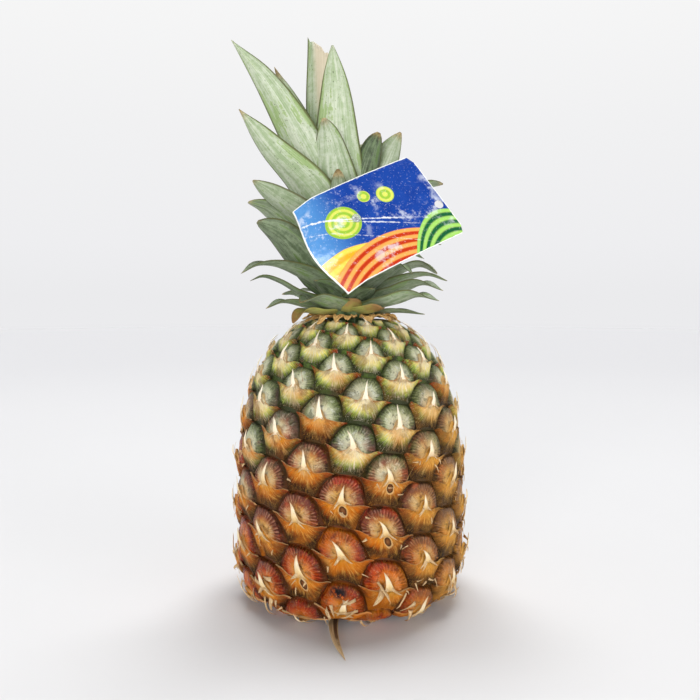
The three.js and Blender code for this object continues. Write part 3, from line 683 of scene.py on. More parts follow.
def build_skin(eyes):
    template, cell = eye_template()
    cell = np.array([f + [f[2]] * (4 - len(f)) for f in cell])
    all_points, all_faces, uv, ripe, own, rot = [], [], [], [], [], []
    for eye, depth, one in eyes:
        across, along, lift, vary = template.T
        wave = 0.22 * np.sin(across * 0.9 + one * 19) * np.cos(along * 0.8 + one * 31)
        level = np.where(vary > 0, (lift + wave * (lift > -1.3)) * (1 + (depth - 1) * 0.5), lift)
        level = level - vary * 1.5 * smooth(-along, 0.6, 3.2) * (lift > -2.0)
        start = len(all_points) * len(template)
        all_points.append(on_skin(eye, across, along, level))
        all_faces.append(cell + start)
        uv.append(np.column_stack([across, along]) / EYE_SPAN + 0.5)
        ripe.append(ripeness(skin_step(eye, along)))
        own.append(np.full(len(across), one))
        rot.append((eye == ROTTEN_EYE) * smooth(np.hypot((across + 0.6) / 1.5, along - 8.2), 4.2, 1.6))
    points = tuck_under(np.vstack(all_points))
    faces = [list(dict.fromkeys(f)) for f in np.vstack(all_faces).tolist()]
    piece = build("eyes_skin", points, faces, skin_look(), {"eye": np.vstack(uv)},
                  {"ripe": np.concatenate(ripe), "own": np.concatenate(own), "rot": np.concatenate(rot)})
    place(piece, "skin", "fruit")


# Upper and lower edges of a bract from its left tip to its right tip, across and along.
BRACT_TOP = np.array([(-13.9, 2.3), (-11.0, 1.5), (-8.2, 0.3), (-5.6, -0.6), (-3.5, -0.5), (-2.2, 1.0),
                      (-1.3, 3.0), (0, 4.4), (1.3, 3.0), (2.2, 0.8), (3.6, -0.9), (5.8, -1.6),
                      (8.4, -1.7), (11.2, -1.4), (14.1, -2.1)])
BRACT_LOW = np.array([(-13.8, 1.9), (-12.4, -1.2), (-11.6, -4.6), (-11.2, -8.2), (-10.7, -11.4),
                      (-8.6, -11.2), (-6.0, -10.5), (-3.0, -10.6), (0.4, -11.6), (3.2, -13.2),
                      (4.8, -11.0), (6.8, -7.8), (9.0, -5.2), (11.4, -3.4), (14.0, -2.5)])
BRACT_COLUMNS = 37
BRACT_ROWS = 10


def spread(line, count):
    at = np.linspace(0, 1, len(line))
    want = np.linspace(0, 1, count)
    return np.column_stack([np.interp(want, at, line[:, 0]), np.interp(want, at, line[:, 1])])


def rounded(line, count):
    fine = spread(line, 121)
    kernel = np.hanning(13)
    kernel /= kernel.sum()
    padded = np.vstack([2 * fine[0] - fine[6:0:-1], fine, 2 * fine[-1] - fine[-2:-8:-1]])
    soft = np.column_stack([np.convolve(padded[:, k], kernel, "valid") for k in (0, 1)])
    return spread(soft, count)


def build_bracts(eyes):
    top, low = rounded(BRACT_TOP, BRACT_COLUMNS), rounded(BRACT_LOW, BRACT_COLUMNS)
    rows = [(0.0, -1.0), (0.0, 0.0)] + [((k / (BRACT_ROWS - 1)) ** 1.15, 0.0) for k in range(1, BRACT_ROWS)]
    s = np.linspace(0, 1, BRACT_COLUMNS)
    side = np.abs(s * 2 - 1)
    faces = np.array(grid_faces(len(rows), BRACT_COLUMNS, flip=True))
    all_points, all_faces, uv, sheet, ripe, own, pits = [], [], [], [], [], [], []
    for eye, depth, one in eyes:
        draw = Draw(int(one * 1e6) + 7)
        pitted = 1.0 if eye in PITTED_EYES else 0.0
        waves = [draw() for _ in range(6)]
        high = smooth(eye, 8, 46)
        start = len(all_points) * len(rows) * BRACT_COLUMNS
        points = []
        for q, sink in rows:
            across = top[:, 0] + (low[:, 0] - top[:, 0]) * q
            along = top[:, 1] + (low[:, 1] - top[:, 1]) * q
            across = across * (1 + 0.24 * high)
            along = along * (1 - 0.2 * high * (along < 0))
            along = along + (1 - q) * 0.4 * np.sin(s * 19 + waves[0] * 9) * smooth(side, 0.2, 0.4)
            arch = 0.55 * (1 - side ** 2.2) - 0.5 * side ** 3
            crest = 0.35 + 0.65 * smooth(q, 0.0, 0.16)
            lift = arch * crest * (1 - 0.7 * q) - 2.8 * smooth(q, 0.3, 1.1)
            lift = lift + (0.55 + 0.8 * waves[4]) * np.exp(-(across / 2.2) ** 2) * (1 - q) ** 2
            lift = lift + 0.2 * np.sin(s * 23 + waves[1] * 9) * (1 - q)
            lift = lift + 0.2 * np.sin(across * 1.7 + waves[2] * 9) * np.sin(q * 7 + waves[3] * 9)
            hole = pitted * np.exp(-((across - PIT_PLACE[0]) / PIT_SIZE[0]) ** 2
                                   - ((along - PIT_PLACE[1]) / PIT_SIZE[1]) ** 2)
            lift = lift - 1.1 * hole
            points.append(np.column_stack([across, along, lift * (1 + (depth - 1) * 0.5) + sink]))
            sheet.append(np.column_stack([s, np.full_like(s, q)]))
            pits.append(np.full_like(s, pitted))
        points = np.vstack(points)
        all_points.append(on_skin(eye, *points.T))
        all_faces.append(faces + start)
        uv.append(points[:, :2] / EYE_SPAN + 0.5)
        ripe.append(ripeness(skin_step(eye, points[:, 1])))
        own.append(np.full(len(points), one))
    points = tuck_under(np.vstack(all_points))
    piece = build("bracts", points, np.vstack(all_faces).tolist(), bract_look(),
                  {"eye": np.vstack(uv), "sheet": np.vstack(sheet)},
                  {"ripe": np.concatenate(ripe), "own": np.concatenate(own),
                   "pitted": np.concatenate(pits)})
    place(piece, "skin")


BLADE_SIDES = np.array([-1.0, -0.6, 0.0, 0.6, 1.0])


def blade_faces(stations, start):
    """Faces of a closed thin blade whose stations are rings of upper then lower points."""
    ring = 2 * len(BLADE_SIDES)
    faces = grid_faces(stations, ring, start, close=True)
    first = list(range(start, start + ring))
    last = [start + (stations - 1) * ring + k for k in range(ring)]
    return faces + [first[::-1], last]


def build_spikes(eyes):
    stations = 12
    t = np.linspace(0, 1, stations)
    points, faces, uv, own = [], [], [], []
    for eye, lean, reach, rise, one in eyes:
        draw = Draw(int(one * 1e6) + 3)
        low = smooth(-eye, -10, 45)
        hook = (draw() - 0.5) * (5 + 7 * low)
        width = 1.0 + 0.45 * draw() + 0.55 * low
        curl = draw()
        across = lean * t ** 1.5 + hook * t ** 3 * 0.6
        reach = reach * (0.74 + 0.2 * draw())
        along = -0.4 + (reach + 0.4) * (t - 0.2 * curl * t ** 3)
        lift = 1.15 + (rise - 0.9) * np.sin(t * (1.2 + 0.8 * curl))
        lift = lift + 0.5 * np.exp(-((t - 0.35) / 0.25) ** 2)
        half = width * (1 - t) ** 0.8 + 1.0 * np.exp(-t * 7.0) + 0.05
        thick = 0.16 * (1 - t) + 0.05
        twist = (draw() - 0.5) * 1.6 * t
        start = len(points) * stations * 2 * len(BLADE_SIDES)
        rings = []
        for k in range(stations):
            over = []
            for side in BLADE_SIDES:
                cup = 0.5 * half[k] * side * side * (0.4 + 0.6 * curl)
                over.append((across[k] + side * half[k] * math.cos(twist[k]),
                             along[k] - 0.3 * side * side * half[k],
                             lift[k] + thick[k] - cup * 0.6 + side * half[k] * math.sin(twist[k]) * 0.5))
            under = [(a, l, h - 2 * thick[k]) for a, l, h in over[::-1]]
            rings += over + under
            uv += [((side + 1) / 2, t[k]) for side in BLADE_SIDES]
            uv += [((side + 1) / 2, t[k]) for side in BLADE_SIDES[::-1]]
        rings = np.array(rings)
        points.append(on_skin(eye, *rings.T))
        faces += blade_faces(stations, start)
        own.append(np.full(len(rings), one))
    flat = np.vstack(points)
    flat[:, 2] = np.maximum(flat[:, 2], 0.15)
    piece = build("spikes", flat, faces, spike_look(), {"blade": np.array(uv)},
                  {"own": np.concatenate(own)})
    place(piece, "skin")


FIRST_BRACT, FIRST_SPIKE, LAST_SPIKE = -72, -64, 57


def build_fruit():
    draw = Draw(41)
    eyes, spikes = [], []
    for eye in range(LOWEST_EYE, HIGHEST_EYE + 1):
        depth = 0.8 + 0.4 * draw()
        lean = (draw() - 0.5) * 5
        reach = 9.5 + 3 * draw()
        rise = 1.9 + 1.1 * draw()
        one = (eye * 0.6180339887) % 1
        eyes.append((eye, depth, one))
        if FIRST_SPIKE <= eye <= LAST_SPIKE:
            spikes.append((eye, lean, reach, rise, one))
    build_skin(eyes)
    build_bracts([e for e in eyes if e[0] >= FIRST_BRACT])
    build_spikes(spikes)


# Leaves
# Leaves in front: points that each runs through, width, turn of its face, bluntness and slant of its
# tip, dimness and dryness.
FRONT_LEAVES = [
    (((-5, -2, 186), (-15, -6, 213), (-26, -9, 235), (-43, -14, 263), (-58, -18, 281)),
     25, -12, 0.06, 0, 0.05, 0.1),
    (((-6, 3, 190), (-22, 8, 235), (-33, 12, 261), (-40, 14, 277)), 21, -8, 0.06, 0, 0.1, 0.5),
    (((-3, 6, 190), (-14, 11, 244), (-15, 14, 286.5)), 20, -8, 0.8, 7, 0.15, -0.2),
    (((-1, 0, 185), (-6, -2, 231), (-7, -2, 259), (-9, 0, 284)), 28, 5, 0.16, 0, 0, 0.1),
    (((-2, -5, 177), (-7, -9, 215), (-11, -11, 237), (-13, -16, 244)), 29, 5, 0.2, 0, 0.15, 0.3),
    (((-1, -8, 172), (-5, -14, 204), (-6, -17, 219)), 14, 0, 0.4, 0, 0.5, 0.5),
    (((-5, -5, 181), (-21, -12, 209), (-39, -18, 228), (-54, -22, 247)), 25, -18, 0.06, 0, 0.1, 0.35),
    (((-5, -7, 175), (-23, -15, 193), (-37, -22, 204), (-47, -27, 212)), 23, -18, 0.25, 0, 0.3, 0.25),
    (((-6, -2, 170), (-28, -6, 187), (-42, -11, 199), (-51, -14, 203)), 19, -25, 0.5, 0, 0.55, 0.2),
    (((-5, -9, 152), (-20, -18, 169), (-34, -25, 185), (-45, -28, 192)), 25, -16, 0.4, 0, 0.8, 0.15),
    (((-7, 6, 158), (-24, 12, 170), (-34, 15, 178), (-37, 15, 181)), 16, -70, 0.5, 0, 0.9, 0.5),
    (((-4, -6, 152), (-22, -16, 165), (-37, -23, 171), (-46, -27, 171), (-53, -29, 167)),
     19, -30, 0.06, 0, 0.7, 0.2),
    (((-6, -1, 150), (-26, -4, 157), (-36, -6, 163), (-45, -7, 166), (-51, -8, 164)),
     13, -75, 0.06, 0, 0.75, 0.2),
    (((-8, 8, 149), (-24, 14, 154), (-31, 17, 157), (-37, 18, 157)), 12, -70, 0.4, 0, 0.8, 0.3),
    (((-6, -6, 148), (-20, -12, 150), (-34, -17, 153), (-42, -19, 150)), 15, -40, 0.06, 0, 0.65, 0.3),
    (((-6, -9, 147), (-16, -18, 147.5), (-24, -23, 148), (-28, -26, 143)), 13, -35, 0.3, 0, 0.3, 1.6),
    (((-3, -9, 147), (-12, -20, 151), (-19, -26, 154), (-24, -30, 153)), 21, -20, 0.35, 0, 0.55, 0.3),
    (((-1, -9, 146), (-1, -18, 150), (-1, -21, 155)), 15, 0, 0.8, 0, 0.2, 2),
    (((4, -9, 147), (10, -19, 148), (16, -24, 150.5)), 15, 20, 0.6, 0, 0.3, 1.8),
    (((8, -4, 147), (25, -9, 148), (38, -12, 147)), 11, 60, 0.06, 0, 0.55, 0.2),
    (((5, -8, 148), (21, -17, 152), (34, -21, 156), (44, -23, 154)), 19, 30, 0.06, 0, 0.45, 0.15),
    (((5, -4, 150), (24, -9, 157), (37, -12, 162), (47, -14, 159)), 18, 40, 0.06, 0, 0.5, 0.2),
    (((6, 1, 152), (24, 2, 162), (40, 3, 167), (51, 3, 164)), 16, 60, 0.06, 0, 0.5, 0.2),
    (((4, 6, 154), (27, 12, 168), (38, 15, 172), (47, 16, 168)), 17, 70, 0.5, 0, 0.4, 0.2),
    (((3, -8, 155), (18, -17, 166), (26, -21, 171), (31, -22, 167)), 14, 30, 0.06, 0, 0.6, 0.2),
    (((2, 4, 183), (14, 9, 215), (21, 12, 232), (27, 14, 243)), 24, 12, 0.25, 0, 0.3, 0.35),
    (((1, 1, 186), (8, 3, 219), (12, 4, 234), (15, 4, 241)), 17, 8, 0.5, 0, 0.95, 0.3),
    (((3, 5, 174), (27, 12, 202), (42, 16, 214), (50, 18, 216)), 16, 55, 0.5, 0, 0.55, 0.3),
    (((2, 2, 176), (19, 4, 204), (29, 5, 216), (35, 6, 220)), 18, 45, 0.06, 0, 0.4, 0.2),
    (((4, -2, 167), (21, -2, 185), (34, -2, 194), (45, -2, 197)), 18, 55, 0.06, 0, 0.3, 0.2),
    (((4, -5, 160), (22, -9, 176), (35, -11, 183), (46, -12, 182)), 17, 45, 0.06, 0, 0.3, 0.15),
    (((2, -8, 150), (7, -20, 157), (11, -27, 160)), 18, 15, 0.2, 0, 0.8, 0.2),
    (((-4, -8, 151), (-12, -19, 160), (-17, -26, 164)), 19, -20, 0.2, 0, 0.8, 0.2),
    (((1, -8, 160), (2, -17, 178), (3, -22, 194), (3, -23, 207)), 16, 0, 0.06, 0, 0.5, 0.2),
]
# Rings at the back: count, first and last turn, foot, reach, rise, droop and width.
BACK_RINGS = ((4, 118, 242, 148, 42, 12, 9, 14), (4, 105, 255, 154, 45, 26, 10, 15),
              (3, 125, 235, 163, 42, 44, 7, 17), (3, 112, 232, 172, 34, 60, 4, 18),
              (2, 150, 215, 182, 22, 58, 1, 18))
STEM = ((0, 138.4), (12, 138.4), (12, 145), (15.5, 148), (15, 156), (11.5, 170), (8.5, 185), (5, 202),
        (2, 214), (0, 214))
# The dryness of the one leaf whose right side is bleached.
BLEACHED_LEAF = -0.2
LEAF_THICKNESS, LEAF_TROUGH = 0.8, 0.2
LEAF_STATIONS = 30
LEAF_SIDES = np.linspace(-1, 1, 11)


def ring_leaves():
    draw = Draw(23)
    leaves = []
    for count, first, last, foot, reach, rise, droop, width in BACK_RINGS:
        for i in range(count):
            turn = first + (last - first) * (i + 0.5) / count + (draw() - 0.5) * 8
            size = 0.92 + 0.16 * draw()
            angle = math.radians(turn - 90)
            through = []
            for out, up in ((4, 0), (reach * 0.4 * size, rise * 0.5 * size),
                            (reach * 0.75 * size, rise * 0.9 * size),
                            (reach * size, rise * size - droop * 0.5)):
                through.append((out * math.cos(angle), out * math.sin(angle), foot + up))
            leaves.append((through, width, turn, 0.06, 0, 0.35 - 0.1 * (rise > 40), 0.2))
    return leaves


def curve_through(through, count):
    """Evenly spaced points and directions on the smooth curve through the given points."""
    p = [np.array(v, float) for v in through]
    p = [2 * p[0] - p[1]] + p + [2 * p[-1] - p[-2]]
    dense = []
    for a, b, c, d in zip(p, p[1:], p[2:], p[3:]):
        k = [0.0]
        for m, n in ((a, b), (b, c), (c, d)):
            k.append(k[-1] + max(1e-6, np.linalg.norm(n - m)) ** 0.5)
        for u in np.linspace(k[1], k[2], 60, endpoint=False):
            ab = a + (b - a) * (u - k[0]) / (k[1] - k[0])
            bc = b + (c - b) * (u - k[1]) / (k[2] - k[1])
            cd = c + (d - c) * (u - k[2]) / (k[3] - k[2])
            abc = ab + (bc - ab) * (u - k[0]) / (k[2] - k[0])
            bcd = bc + (cd - bc) * (u - k[1]) / (k[3] - k[1])
            dense.append(abc + (bcd - abc) * (u - k[1]) / (k[2] - k[1]))
    dense = np.array(dense + [p[-2]])
    run = np.concatenate([[0], np.cumsum(np.linalg.norm(np.diff(dense, axis=0), axis=1))])
    want = np.linspace(0, run[-1], count)
    points = np.column_stack([np.interp(want, run, dense[:, k]) for k in range(3)])
    ways = np.gradient(points, axis=0)
    return points, ways / np.linalg.norm(ways, axis=1)[:, None]


def leaf_points(leaf, one, stations=LEAF_STATIONS, trough_share=LEAF_TROUGH, ripple=0.5):
    through, width, faces, blunt, slant = leaf[:5]
    middle, ways = curve_through(through, stations)
    t = np.linspace(0, 1, stations)
    opening = np.minimum(1, 0.5 + 1.8 * t)
    full = width * opening * (1 - (1 - blunt) * t ** 2.4)
    if slant == 0:
        full = full * np.sqrt(np.clip(1 - ((t - 0.8) / 0.205).clip(0, 1) ** 2.2, 0.0006, 1))
    half = full / 2
    thick = LEAF_THICKNESS * (1 - 0.2 * t) * (1 - 0.85 * t ** 40) / 2
    angle = math.radians(faces)
    lay = np.array([math.cos(angle), math.sin(angle), 0.0])
    outer = np.cross(lay, ways)
    outer /= np.linalg.norm(outer, axis=1)[:, None]
    cross = np.cross(ways, outer)
    cross /= np.linalg.norm(cross, axis=1)[:, None]
    rings, uv = [], []
    for k in range(stations):
        over, under, marks = [], [], []
        for side in LEAF_SIDES:
            wave = ripple * side * abs(side) * math.sin(t[k] * 11 + one * 40 + side) * 0.5
            fold = half[k] * 2 * trough_share * (0.35 * abs(side) + 0.65 * side * side)
            along = slant * t[k] ** 6 * -side
            if slant:
                along += 0.9 * t[k] ** 30 * math.sin(side * 13 + one * 9)
            at = middle[k] + cross[k] * half[k] * side + ways[k] * along
            rim = thick[k] * (1 - 0.65 * side ** 4)
            over.append(at + outer[k] * (rim - fold + wave))
            under.append(at + outer[k] * (-rim - fold + wave))
            marks.append(((side + 1) / 2, t[k]))
        rings += over + under[::-1]
        uv += marks + marks[::-1]
    return np.array(rings), np.array(uv)


def joined_blades(leaves, draw, **shape):
    points, faces, uv, own = [], [], [], []
    start = 0
    for leaf in leaves:
        one = draw()
        rings, marks = leaf_points(leaf, one, **shape)
        ring = 2 * len(LEAF_SIDES)
        stations = len(rings) // ring
        faces += grid_faces(stations, ring, start, close=True)
        faces.append(list(range(start, start + ring))[::-1])
        faces.append([start + (stations - 1) * ring + k for k in range(ring)])
        points.append(rings)
        uv.append(marks)
        own.append(np.full(len(rings), one))
        start += len(rings)
    return np.vstack(points), faces, np.vstack(uv), np.concatenate(own)


def lathe(profile, sides):
    angles = np.linspace(0, 2 * math.pi, sides, endpoint=False)
    points = [(r * math.cos(a), r * math.sin(a), z) for r, z in profile for a in angles]
    around = [0.1 + 0.8 * abs(1 - 2 * j / sides) for j in range(sides)]
    uv = [(s, i / (len(profile) - 1)) for i in range(len(profile)) for s in around]
    return np.array(points), grid_faces(len(profile), sides, close=True), np.array(uv)


def build_crown():
    draw = Draw(5)
    leaves = FRONT_LEAVES + ring_leaves()
    points, faces, uv, own = joined_blades(leaves, draw)
    per_leaf = LEAF_STATIONS * 2 * len(LEAF_SIDES)
    tone = np.repeat([leaf[5] for leaf in leaves], per_leaf)
    # Painted shade: each leaf is dimmer towards its foot, in the crowded heart of the crown, on top of its
    # listed dimness.
    dim = np.clip(tone + 0.25 * (1 - smooth(uv[:, 1], 0.0, 0.45)), 0, 1)
    dry = np.repeat([leaf[6] for leaf in leaves], per_leaf)
    bleached = (dry == BLEACHED_LEAF) * smooth(uv[:, 1], 0.2, 0.4)
    stem, stem_faces, stem_uv = lathe(STEM, 28)
    faces += [[n + len(points) for n in f] for f in stem_faces]
    points = np.vstack([points, stem])
    values = {"own": np.concatenate([own, np.full(len(stem), 0.3)]),
              "dim": np.concatenate([dim, np.ones(len(stem))]),
              "dry": np.concatenate([dry, np.zeros(len(stem))]),
              "bleached": np.concatenate([bleached, np.zeros(len(stem))])}
    piece = build("crown_leaves", points, faces, leaf_look(),
                  {"blade": np.vstack([uv, stem_uv])}, values)
    place(piece, "leaf", "crown")


def shoulder(radius):
    """Height of the plain top of the fruit at a radius."""
    high = OUTLINE[OUTLINE[:, 2] > WIDEST_HEIGHT]
    return np.interp(-radius, -high[:, 1], high[:, 2]).clip(0, FRUIT_TOP)


# Broad scales over the two gaps in the last row of eyes: turn, foot, reach and width.
BROAD_SCALES = ((190, 19, 31, 13), (199, 20, 30, 10), (98, 16, 27, 12), (90, 17, 26, 8))


def scale_through(turn, foot, reach, rise):
    """Points along a scale that hugs the shoulder and lifts its end."""
    angle = math.radians(turn - 90)
    return [(out * math.cos(angle), out * math.sin(angle), shoulder(out) + lift)
            for out, lift in ((foot, 1.4), ((foot + reach) / 2, 1.6 + rise * 0.5), (reach, 0.6 + rise))]


def build_scales():
    """Dry papery scales on the shoulder where the crown sits on the fruit."""
    draw = Draw(77)
    leaves = []
    for i in range(34):
        turn = i * 360 / 34 + (draw() - 0.5) * 14
        foot, reach, rise = 13 + 4 * draw(), 19 + 8 * draw(), 2.2 * draw()
        leaves.append((scale_through(turn, foot, reach, rise), 4 + 4 * draw(), turn, 0.06, 0))
    for turn, foot, reach, width in BROAD_SCALES:
        leaves.append((scale_through(turn, foot, reach, 0.3), width, turn, 0.06, 0))
    points, faces, uv, own = joined_blades(leaves, draw, stations=10, trough_share=0.1, ripple=1.2)
    look = husk_look("dry_scales", (238, 206, 138), (172, 112, 50))
    place(build("base_scales", points, faces, look, {"blade": uv}, {"own": own}), "skin")


def build_shoulder():
    """Plain skin under the scales, which shows between the last eyes and the crown."""
    radii = np.linspace(13, 33, 11)
    tops = [(r, shoulder(r) - 1.2 - 2.4 * smooth(r, 22, 32)) for r in radii]
    unders = [(r, z - 1.5) for r, z in tops[::-1]]
    points, faces, uv = lathe([*tops, *unders, tops[0]], 72)
    look = husk_look("shoulder_skin", (134, 140, 78), (66, 76, 36))
    own = np.full(len(points), 0.4)
    place(build("shoulder_skin", points, faces, look, {"blade": uv}, {"own": own}), "skin")


# Stalk and dry leaf
DRY_LEAF = (((-2, -8, 1.6), (-6, -25, 1.5), (-7.8, -42, 1.1), (-7.7, -55, 1.6), (-6, -70, 1.5),
             (-2, -86, 0.75)), 5.6, 0, 0.15, 0)


# Half width and height, in mm, of the space that the skin leaves free for the dry leaf.
DRY_LEAF_HALF, DRY_LEAF_TOP = 3.4, 2.5


def build_stalk():
    profile = ((0, 0.0), (9.2, 0.0), (9.9, 0.6), (10, 2), (9.8, 6), (10, 11.2), (9, 12.5), (0, 12.5))
    stem, stem_faces, stem_uv = lathe(profile, 64)
    blade, leaf_faces, blade_uv, own = joined_blades([DRY_LEAF], Draw(9), stations=60,
                                                       trough_share=0.0, ripple=0.25)
    stem_faces += [[n + len(stem) for n in f] for f in leaf_faces]
    points = np.vstack([stem, blade])
    points[:, 2] = np.maximum(points[:, 2], 0.0)
    look = dry_leaf_look()
    piece = build("stalk_and_dry_leaf", points, stem_faces, look, {"blade": np.vstack([stem_uv, blade_uv])},
                  {"own": np.concatenate([np.full(len(stem), 0.5), own])})
    place(piece, "dry_stalk", "stalk")


# Card and pin
CARD_CORNER = np.array((-27.0, -33.0, 198.5))
CARD_LONG = np.array((57.0, 26.0, 28.3))
CARD_SHORT = np.array((27.0, -16.0, -39.0))
CARD_THICKNESS, CREASE_AT, CREASE_BACK, CARD_BOW, CARD_BULGE = 0.7, 0.15, 5, 1.6, 0.06
PIN_AT, PUNCH_AT, PUNCH_RADIUS = (0.335, 0.4), (0.95, 0.62), 2.3
PIN_RADIUS, PIN_HEAD_RADIUS, PIN_LENGTH, GAP = 0.7, 2.2, 15, 0.35
CARD_OUT = np.cross(CARD_SHORT, CARD_LONG)
CARD_OUT /= np.linalg.norm(CARD_OUT)


def on_card(u, v, height):
    u, v = np.asarray(u, float), np.asarray(v, float)
    back = np.maximum(0, CREASE_AT - u) / CREASE_AT
    bow = CARD_BOW * (1 - (2 * u - 1) ** 2) + 0.8 * np.sin(v * 5 + 1.2) * (1 - u)
    out = height + bow - CREASE_BACK * back ** 1.3
    u = u - CARD_BULGE * np.maximum(0, np.sin(math.pi * v)) ** 1.5 * (1 - u) ** 6
    return CARD_CORNER + u[..., None] * CARD_LONG + v[..., None] * CARD_SHORT + out[..., None] * CARD_OUT


def build_card():
    columns, rows = 121, 85
    u = np.repeat(np.linspace(0, 1, columns), rows)
    v = np.tile(np.linspace(0, 1, rows), columns)
    corner = 0.09 * smooth(u, 0.955, 1.0) ** 1.5
    v = corner + v * (1 - 2 * corner)
    size = np.array([np.linalg.norm(CARD_LONG), np.linalg.norm(CARD_SHORT)])
    flat = np.column_stack([u, v]) * size
    gone = np.zeros(len(flat), bool)
    for at, radius in ((PIN_AT, PIN_RADIUS + GAP), (PUNCH_AT, PUNCH_RADIUS)):
        middle = np.array(at) * size
        ray = flat - middle
        away = np.linalg.norm(ray, axis=1)
        near = (away < radius + 0.42) & (away > radius - 0.35)
        flat[near] = middle + ray[near] / away[near, None] * radius
        gone |= away <= radius - 0.35
    u, v = (flat / size).T
    quads = [f for f in grid_faces(columns, rows, flip=True) if not gone[f].any()]
    count = len(flat)
    points = np.vstack([on_card(u, v, CARD_THICKNESS / 2), on_card(u, v, -CARD_THICKNESS / 2)])
    used = {}
    for f in quads:
        for a, b in zip(f, f[1:] + f[:1]):
            used[(a, b)] = True
    rim = [(a, b) for a, b in used if (b, a) not in used]
    faces = [list(f) for f in quads] + [[n + count for n in f[::-1]] for f in quads]
    rim_start = len(points)
    border, rim_points = [], []
    for a, b in rim:
        k = rim_start + len(rim_points)
        rim_points += [points[a], points[b], points[b + count], points[a + count]]
        border += [a, b, b, a]
        faces.append([k + 1, k, k + 3, k + 2])
    points = np.vstack([points, rim_points])
    uv = np.column_stack([u, v])
    uv = np.vstack([uv, uv, uv[border]])
    face = np.concatenate([np.ones(count), np.zeros(len(points) - count)])
    piece = build("printed_card", points, faces, card_look(), {"card": uv}, {"face": face})
    place(piece, "print", "card")


def build_pin():
    face = CARD_THICKNESS / 2 + GAP
    head = [(0, -PIN_LENGTH), (0.45, -PIN_LENGTH), (PIN_RADIUS, -PIN_LENGTH + 0.6), (PIN_RADIUS, face)]
    head += [(PIN_HEAD_RADIUS - 0.15, face), (PIN_HEAD_RADIUS, face + 0.15), (PIN_HEAD_RADIUS, face + 0.7)]
    head += [(PIN_HEAD_RADIUS - 0.12, face + 0.92), (PIN_HEAD_RADIUS - 0.4, face + 1.0), (0, face + 1.0)]
    points, faces, uv = lathe(head, 40)
    middle = on_card(*PIN_AT, np.array(0.0))
    side = CARD_LONG - CARD_OUT * CARD_LONG.dot(CARD_OUT)
    side /= np.linalg.norm(side)
    other = np.cross(CARD_OUT, side)
    points = middle + points[:, :1] * side + points[:, 1:2] * other + points[:, 2:] * CARD_OUT
    place(build("clear_pin", points, faces, clear_look(), {"blade": uv}), "clear_plastic", "card_pin")


# Dry threads
def build_threads():
    draw = Draw(61)
    points, faces, uv, own = [], [], [], []
    start = 0
    for _ in range(70):
        eye = int(LOWEST_EYE + 18 + draw() * 116)
        across, along = (draw() - 0.5) * 18, (draw() - 0.5) * 6
        reach, drift, height = 5 + 7 * draw(), (draw() - 0.5) * 9, 1.2 + 1.4 * draw()
        t = np.linspace(0, 1, 9)
        middle = on_skin(eye, across + drift * t * t, along + reach * t,
                         0.2 + (height - 0.2) * np.sin(t * 2.2))
        thick = 0.14 * (1 - 0.7 * t)
        rings = []
        for k in range(len(t)):
            way = middle[min(k + 1, len(t) - 1)] - middle[max(k - 1, 0)]
            way /= np.linalg.norm(way)
            side = np.cross(way, (0.3, 0.2, 0.93))
            side /= np.linalg.norm(side)
            other = np.cross(way, side)
            for n in range(4):
                a = n * math.pi / 2
                rings.append(middle[k] + thick[k] * (side * math.cos(a) + other * math.sin(a)))
                uv.append((n / 4, t[k]))
        faces += grid_faces(len(t), 4, start, close=True)
        points += rings
        own += [draw()] * len(rings)
        start += len(rings)
    points = np.array(points)
    points[:, 2] = np.maximum(points[:, 2], 0.2)
    look = husk_look("dry_threads", (214, 176, 112), (150, 104, 56))
    piece = build("dry_threads", points, faces, look, {"blade": np.array(uv)}, {"own": np.array(own)})
    place(piece, "skin")


PAPER_STATIONS, PAPER_THICKNESS = 7, 0.14


def strip(eye, across, along, lift, half, roll=0.0):
    """Rings of a thin papery strip along a path over the skin, given in an eye's own plane."""
    way = np.gradient(np.column_stack([across, along]), axis=0)
    way /= np.linalg.norm(way, axis=1)[:, None]
    rings = []
    for k in range(len(across)):
        turn = roll * k / len(across)
        over = []
        for side in BLADE_SIDES:
            out = side * half[k]
            over.append((across[k] + way[k, 1] * out * math.cos(turn),
                         along[k] - way[k, 0] * out * math.cos(turn),
                         lift[k] - 0.5 * side * side * half[k] + out * math.sin(turn)))
        rings += over + [(a, l, h - PAPER_THICKNESS) for a, l, h in over[::-1]]
    return on_skin(eye, *np.array(rings).T)


def spike_legs(draw):
    """Two or three frayed legs under every spike."""
    t = np.linspace(0, 1, PAPER_STATIONS)
    for eye in range(FIRST_SPIKE, LAST_SPIKE + 1):
        low = float(smooth(-eye, -10, 45))
        for way in (-1, 1, 1 if draw() < 0.5 else -1):
            reach, sag = 2.0 + 2.6 * draw() + 1.5 * low * draw(), 1.2 + 2.2 * draw()
            across = way * (0.5 + reach * t ** 1.4)
            along = 1.8 - (1.8 + sag) * t + (draw() - 0.3) * 1.5 * t ** 3
            lift = 1.7 - 0.5 * t + (0.3 + low * 0.9) * draw() * np.sin(t * 3.0)
            yield eye, across, along, lift, (0.5 + 0.25 * low) * (1 - t) ** 0.7 + 0.05


